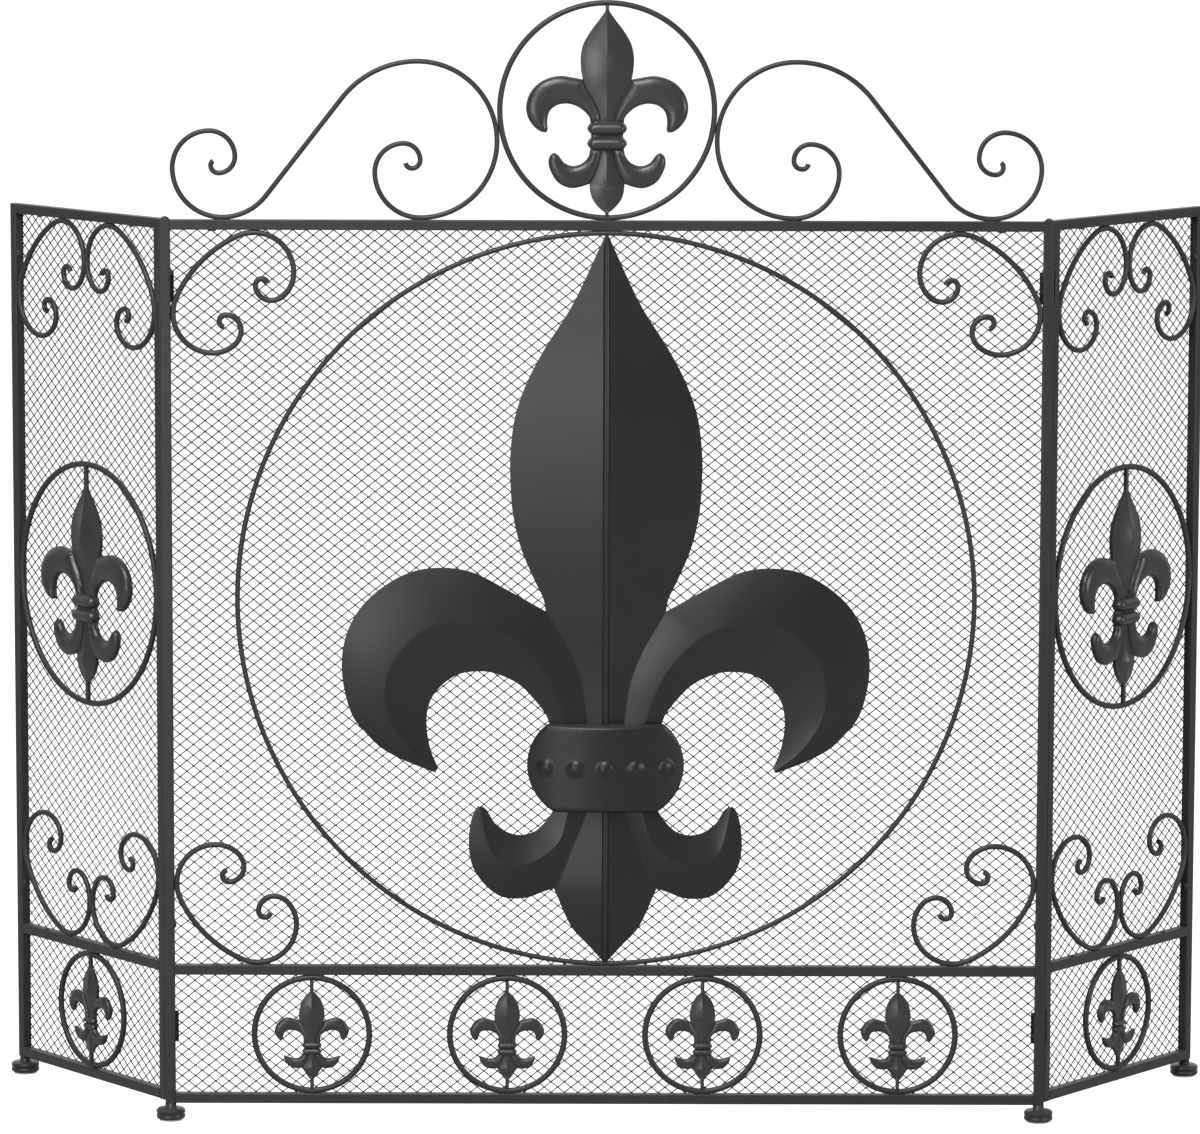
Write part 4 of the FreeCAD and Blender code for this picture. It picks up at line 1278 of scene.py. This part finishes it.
@dataclass
class Press:
    """Large pressed fleur-de-lis: one folded sheet with rounded creases, and its beaded collar."""

    shop: Paintshop
    space: Surroundings
    slope: float = 14.0 / 76.0
    sheet: float = 1.2
    across: int = 12
    rib_half: float = 2.6
    rib_rise: float = 2.1
    rib_steps: tuple[float, ...] = (0, 0.3, 0.55, 0.75, 0.9, 1.0)
    rib_share: float = 0.45
    swell: float = 0.022
    hollow: float = 0.6
    blend: float = 24.0
    most_fold: float = 1.5
    collar_rise: float = 15.0
    collar_edge: float = 4.0
    collar_step: float = 0.72
    collar_top: Point = (46.0, -97.5)
    collar_mid: Point = (62.0, -133.0)
    collar_low: Point = (41.0, -167.0)
    bead_radius: float = 7.0
    bead_rise: float = 2.5
    bead_height: float = -132.0
    bead_places: tuple[float, ...] = (-48.0, -24.0, 0.0, 24.0, 48.0)

    def fold(self, z: float) -> float:
        """Half width that sets the blades' rise at a height, blended along the blade.

        Args:
            z: the height.

        Returns:
            The half width.
        """
        rows = BLADE_TOP + NECK[1:] if z > self.collar_mid[1] else LOWER_NECK_ROWS + BLADE_FOOT[1:]
        line = np.array(rows)[::-1]
        near = np.linspace(-1, 1, 21)
        weight = np.exp(-3 * near ** 2)
        wide = np.interp(z + near * self.blend, line[:, 0], line[:, 1])
        own = float(np.interp(z, line[:, 0], line[:, 1]))
        return min(float((wide * weight).sum() / weight.sum()), own * self.most_fold)

    def blade(self, rows: Sequence[Point], count: int) -> list[np.ndarray]:
        """Rows of points across a folded blade, from its ridge to its right edge.

        Args:
            rows: heights and half widths along the blade.
            count: how many rows to make.

        Returns:
            The rows.
        """
        line = spaced([(w, z) for z, w in rows], count)
        grid = []
        for w, z, _ in line:
            rib = min(self.rib_half, w * self.rib_share)
            steps = [rib * t for t in self.rib_steps]
            steps += [rib + (w - rib) * (i / self.across) for i in range(1, self.across + 1)]
            wide = self.fold(z)
            rise = [self.slope * (wide - x) + self.rib_rise * rib / self.rib_half
                    * math.sqrt(max(0, 1 - (x / rib) ** 2)) for x in steps]
            grid.append(np.array([(x, -y, z) for x, y in zip(steps, rise)]))
        return grid

    def strip(self, one: np.ndarray, other: np.ndarray, swell: float) -> list[np.ndarray]:
        """Rows of points between two runs, swollen a little towards the front.

        Args:
            one, other: the two runs.
            swell: rise of the middle against the width, under 0 for a hollow.

        Returns:
            The rows.
        """
        grid = []
        for a, b in zip(one, other):
            width = math.dist(a[:2], b[:2])
            t = (0.5 - 0.5 * np.cos(np.linspace(0, math.pi, self.across + 1)))[:, None]
            row = a + (b - a) * t
            rise = row[:, 2] + swell * width * 4 * (t * (1 - t))[:, 0]
            grid.append(np.column_stack([row[:, 0], -rise, row[:, 1]]))
        return grid

    def grids(self) -> list[list[np.ndarray]]:
        """Every strip of the right half.

        Returns:
            Grids of points.
        """
        long, short = 56, 28
        neck, low = (spaced([(w, z) for z, w in rows], short) for rows in (NECK, LOWER_NECK_ROWS))
        for line in (neck, low):
            line[:, 2] = [self.slope * (self.fold(z) - w) for w, z, _ in line]
        crease = joined(CURL_CREASE_A[::-1], CURL_CREASE_B, short, long)
        inner = joined(CURL_INNER_A[::-1], CURL_INNER_B, short, long)
        root = joined(ROOT_CREASE_A, ROOT_CREASE_B, short, short)
        under = joined(ROOT_INNER_A, ROOT_INNER_B, short, short)
        edge, root_edge = spaced(CURL_EDGE, long), spaced(ROOT_EDGE, short)
        edge[:, 2] = neck[0, 2] * np.linspace(1, 0, long)
        root_edge[:, 2] = low[-1, 2] * np.linspace(1, 0, short)
        out, back = self.swell, -self.swell * self.hollow
        return [
            self.blade(BLADE_TOP, 72), self.blade(NECK, short), self.blade(LOWER_NECK_ROWS, short),
            self.blade(BLADE_FOOT, short),
            self.strip(neck[::-1], crease[0], out), self.strip(crease[0], inner[0], back),
            self.strip(edge, crease[1], out), self.strip(crease[1], inner[1], back),
            self.strip(low, root[0], out), self.strip(root[0], under[0], back),
            self.strip(root_edge, root[1], out), self.strip(root[1], under[1], back)]

    def stamp(self) -> None:
        """Press the fleur-de-lis."""
        panel = self.space.panels[0]
        middle = (self.space.levels["low"] + self.space.levels["high"]) / 2
        verts: list[np.ndarray] = []
        faces: list[tuple[int, ...]] = []
        count = 0
        for grid in self.grids():
            wide = len(grid[0])
            for side in (1, -1):
                rows = np.vstack(grid) * (side, 1, 1) + (0, 0, middle)
                verts.append(rows)
                for i in range(len(grid) - 1):
                    for j in range(wide - 1):
                        a = count + i * wide + j
                        face = (a, a + 1, a + wide + 1, a + wide)
                        faces.append(face if side > 0 else face[::-1])
                count += len(rows)
        bm = bmesh.new()
        corners = [bm.verts.new(v) for v in np.vstack(verts)]
        for face in faces:
            bm.faces.new([corners[i] for i in face])
        bmesh.ops.remove_doubles(bm, verts=bm.verts, dist=0.05)
        bmesh.ops.dissolve_degenerate(bm, edges=bm.edges, dist=0.01)
        bm.verts.index_update()
        front = np.array([v.co for v in bm.verts])
        merged = [[v.index for v in face.verts] for face in bm.faces]
        bm.free()
        piece = close_sheet("medallion_pressing", front, front + (0, self.sheet, 0), merged, 50.0)
        panel.place(piece.data)
        self.shop.coat(piece, Slot.SHEET)
        hand_over(piece, panel.body, ["medallion_fleur"])

    def collar_half(self, z: float) -> float:
        """Half width of the collar at a height, on the arc of its side.

        Args:
            z: the height.

        Returns:
            The half width.
        """
        (x1, z1), (x2, z2), (x3, z3) = self.collar_top, self.collar_mid, self.collar_low
        rows = np.array([[2 * (x2 - x1), 2 * (z2 - z1)], [2 * (x3 - x1), 2 * (z3 - z1)]])
        right = [x2 ** 2 + z2 ** 2 - x1 ** 2 - z1 ** 2, x3 ** 2 + z3 ** 2 - x1 ** 2 - z1 ** 2]
        cx, cz = np.linalg.solve(rows, right)
        return float(cx + math.sqrt((x1 - cx) ** 2 + (z1 - cz) ** 2 - (z - cz) ** 2))

    def collar(self) -> None:
        """Press the domed collar with its row of beads."""
        panel = self.space.panels[0]
        middle = (self.space.levels["low"] + self.space.levels["high"]) / 2
        rise, half = self.collar_rise, self.collar_mid[0]
        drum = (rise ** 2 + half ** 2) / (2 * rise)
        ball = (self.bead_radius ** 2 + self.bead_rise ** 2) / (2 * self.bead_rise)
        heights = np.linspace(self.collar_low[1], self.collar_top[1], 73)
        wide = 113
        points = []
        for z in heights:
            reach = self.collar_half(z)
            for u in np.sin(np.linspace(-1, 1, wide) * math.pi / 2):
                x = u * reach
                dome = rise - drum + math.sqrt(drum ** 2 - x ** 2)
                inset = min(z - heights[0], heights[-1] - z, (1 - abs(u)) * reach)
                round_off = math.sqrt(1 - (1 - min(inset / self.collar_edge, 1)) ** 2)
                y = dome * (self.collar_step + (1 - self.collar_step) * round_off)
                for bead in self.bead_places:
                    lean = bead / drum
                    away = math.hypot((x - bead) / math.cos(lean), z - self.bead_height)
                    if away < self.bead_radius:
                        y += math.sqrt(ball ** 2 - away ** 2) - (ball - self.bead_rise)
                points.append((x, -y, z + middle))
        front = np.array(points)
        rear = front * (1, 0, 1)
        faces = [(a, a + 1, a + wide + 1, a + wide) for i in range(len(heights) - 1)
                 for a in range(i * wide, i * wide + wide - 1)]
        piece = close_sheet("medallion_collar_pressing", front, rear, faces, 50.0)
        panel.place(piece.data)
        self.shop.coat(piece, Slot.SHEET)
        hand_over(piece, panel.body, ["medallion_collar"])


# ------------------------------------------------------------------ plain parts
@dataclass
class Fitter:
    """Dresses the frame and the small parts that keep their CAD shape."""

    shop: Paintshop
    sharp: float = 28.0
    weld: float = 2e-6

    def smoothed(self, node: str, frame: dict[str, Any], slot: Slot, body: str) -> None:
        """Smooth-shaded copy of a CAD node, welded up and standing for it.

        Args:
            node: the CAD node.
            frame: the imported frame.
            slot: its material slot.
            body: the body that carries it.
        """
        bm = bmesh.new()
        bm.from_mesh(frame["nodes"][node].data)
        bmesh.ops.remove_doubles(bm, verts=bm.verts, dist=self.weld)
        piece = new_mesh(node + "_finished", bm, self.sharp)
        self.shop.coat(piece, slot)
        hand_over(piece, body, [node])

    def fit(self, frame: dict[str, Any]) -> None:
        """Dress every CAD node that no ornament stands for.

        Args:
            frame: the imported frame.
        """
        slots = {item["node"]: Slot(item["material_slot"]) for item in frame["record"]["subparts"]}
        ornaments = ("ring", "scroll", "fleur", "mesh", "medallion")
        for body, nodes in frame["record"]["behaviour"]["bodies"].items():
            for node in nodes:
                if not any(word in node for word in ornaments):
                    self.smoothed(node, frame, slots[node], body)


# ------------------------------------------------------------------ studio
@dataclass
class Studio:
    """Pale floor, soft lights and the camera."""

    distance: float = 4.7403
    target_height: float = 0.360
    elevation: float = math.radians(8.51)
    pitch: float = math.radians(7.48)
    roll: float = math.radians(0.15)
    lens: float = 180.07
    shift_right: float = -0.005
    room_glow: float = 0.33
    wall_glow: float = 1.1
    floor_tone: float = 0.55
    lamps: tuple[tuple[str, Point3, float, float, Point3], ...] = (
        ("key", (-1.75, -3.4, 0.75), 1.2, 40.0, (0, 0, 0.5)),
        ("fill", (2.6, -1.5, 0.9), 0.9, 28.0, (0, 0, 0.5)),
        ("top", (-0.6, -1.7, 2.3), 1.2, 60.0, (0, 0, 0.7)))

    def camera(self, face: float) -> None:
        """Stand the camera in front of the screen.

        Args:
            face: y of the centre panel's face.
        """
        data = bpy.data.cameras.new("camera")
        data.lens, data.sensor_width, data.shift_x = self.lens, 36.0, self.shift_right
        data.clip_end = 100.0
        camera = bpy.data.objects.new("camera", data)
        bpy.context.scene.collection.objects.link(camera)
        spot = Vector((0, face - self.distance * math.cos(self.elevation),
                       self.target_height + self.distance * math.sin(self.elevation)))
        tilt = Matrix.Rotation(math.pi / 2 - self.pitch, 4, "X") @ Matrix.Rotation(self.roll, 4, "Z")
        camera.matrix_world = Matrix.Translation(spot) @ tilt
        bpy.context.scene.camera = camera

    def light(self, name: str, place: Point3, size: float, power: float, aim: Point3) -> None:
        """Hang one soft square light.

        Args:
            name: its name.
            place: where it hangs.
            size: its side.
            power: its power in watts.
            aim: the point that it faces.
        """
        data = bpy.data.lights.new(name, "AREA")
        data.shape, data.size, data.energy = "SQUARE", size, power
        lamp = bpy.data.objects.new(name, data)
        lamp.location = place
        lamp.rotation_euler = (Vector(aim) - Vector(place)).to_track_quat("-Z", "Y").to_euler()
        lamp.visible_camera = False
        bpy.context.scene.collection.objects.link(lamp)

    def floor(self) -> None:
        """Lay the pale floor."""
        bm = bmesh.new()
        bmesh.ops.create_grid(bm, x_segments=1, y_segments=1, size=30.0)
        floor = new_mesh("floor", bm)
        pale = bpy.data.materials.new("pale_floor")
        pale.use_nodes = True
        tree = Tree(pale.node_tree)
        seen = tree.add("ShaderNodeLightPath", out="Is Camera Ray")
        glow = tree.add("ShaderNodeMix", {"data_type": "RGBA"}, {
            0: seen, 6: (0.05, 0.05, 0.05, 1), 7: (0.78, 0.78, 0.78, 1)}, out=2)
        surface = tree.add("ShaderNodeBsdfPrincipled", values={
            "Base Color": (self.floor_tone, self.floor_tone, self.floor_tone, 1), "Roughness": 0.9,
            "Specular IOR Level": 0.1, "Emission Color": glow, "Emission Strength": 1.0})
        tree.add("ShaderNodeOutputMaterial", values={"Surface": surface})
        floor.data.materials.append(pale)

    def build(self, face: float) -> None:
        """Set up world, floor, lights and camera.

        Args:
            face: y of the centre panel's face.
        """
        scene = bpy.context.scene
        scene.view_settings.view_transform = "Standard"
        world = bpy.data.worlds.new("studio")
        world.use_nodes = True
        tree = Tree(world.node_tree)
        seen = tree.add("ShaderNodeLightPath", out="Is Camera Ray")
        way = tree.add("ShaderNodeTexCoord", out="Generated")
        behind = tree.add("ShaderNodeSeparateXYZ", values={0: way}, out="Y").most(0.0)
        room = self.room_glow + behind * self.wall_glow
        glow = tree.add("ShaderNodeBackground", values={
            "Color": (1, 1, 1, 1), "Strength": room + seen * (1.0 - room)})
        tree.add("ShaderNodeOutputWorld", values={"Surface": glow})
        scene.world = world
        self.floor()
        for lamp in self.lamps:
            self.light(*lamp)
        self.camera(face)


def main() -> None:
    """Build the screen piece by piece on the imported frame."""
    logging.basicConfig(level=logging.INFO, format="%(message)s")
    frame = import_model()
    space = Surroundings()
    space.read(frame["joints"])
    shop = Paintshop()
    Fitter(shop).fit(frame)
    press = Press(shop, space)
    press.stamp()
    press.collar()
    smithy = Smithy(shop, space)
    smithy.rings()
    smithy.corners()
    smithy.crest()
    smithy.welds()
    Weaver(shop, space).weave()
    Foundry(shop, space).pour()
    Studio().build(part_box("centre_left_post")[0].y)


if __name__ == "__main__":
    main()
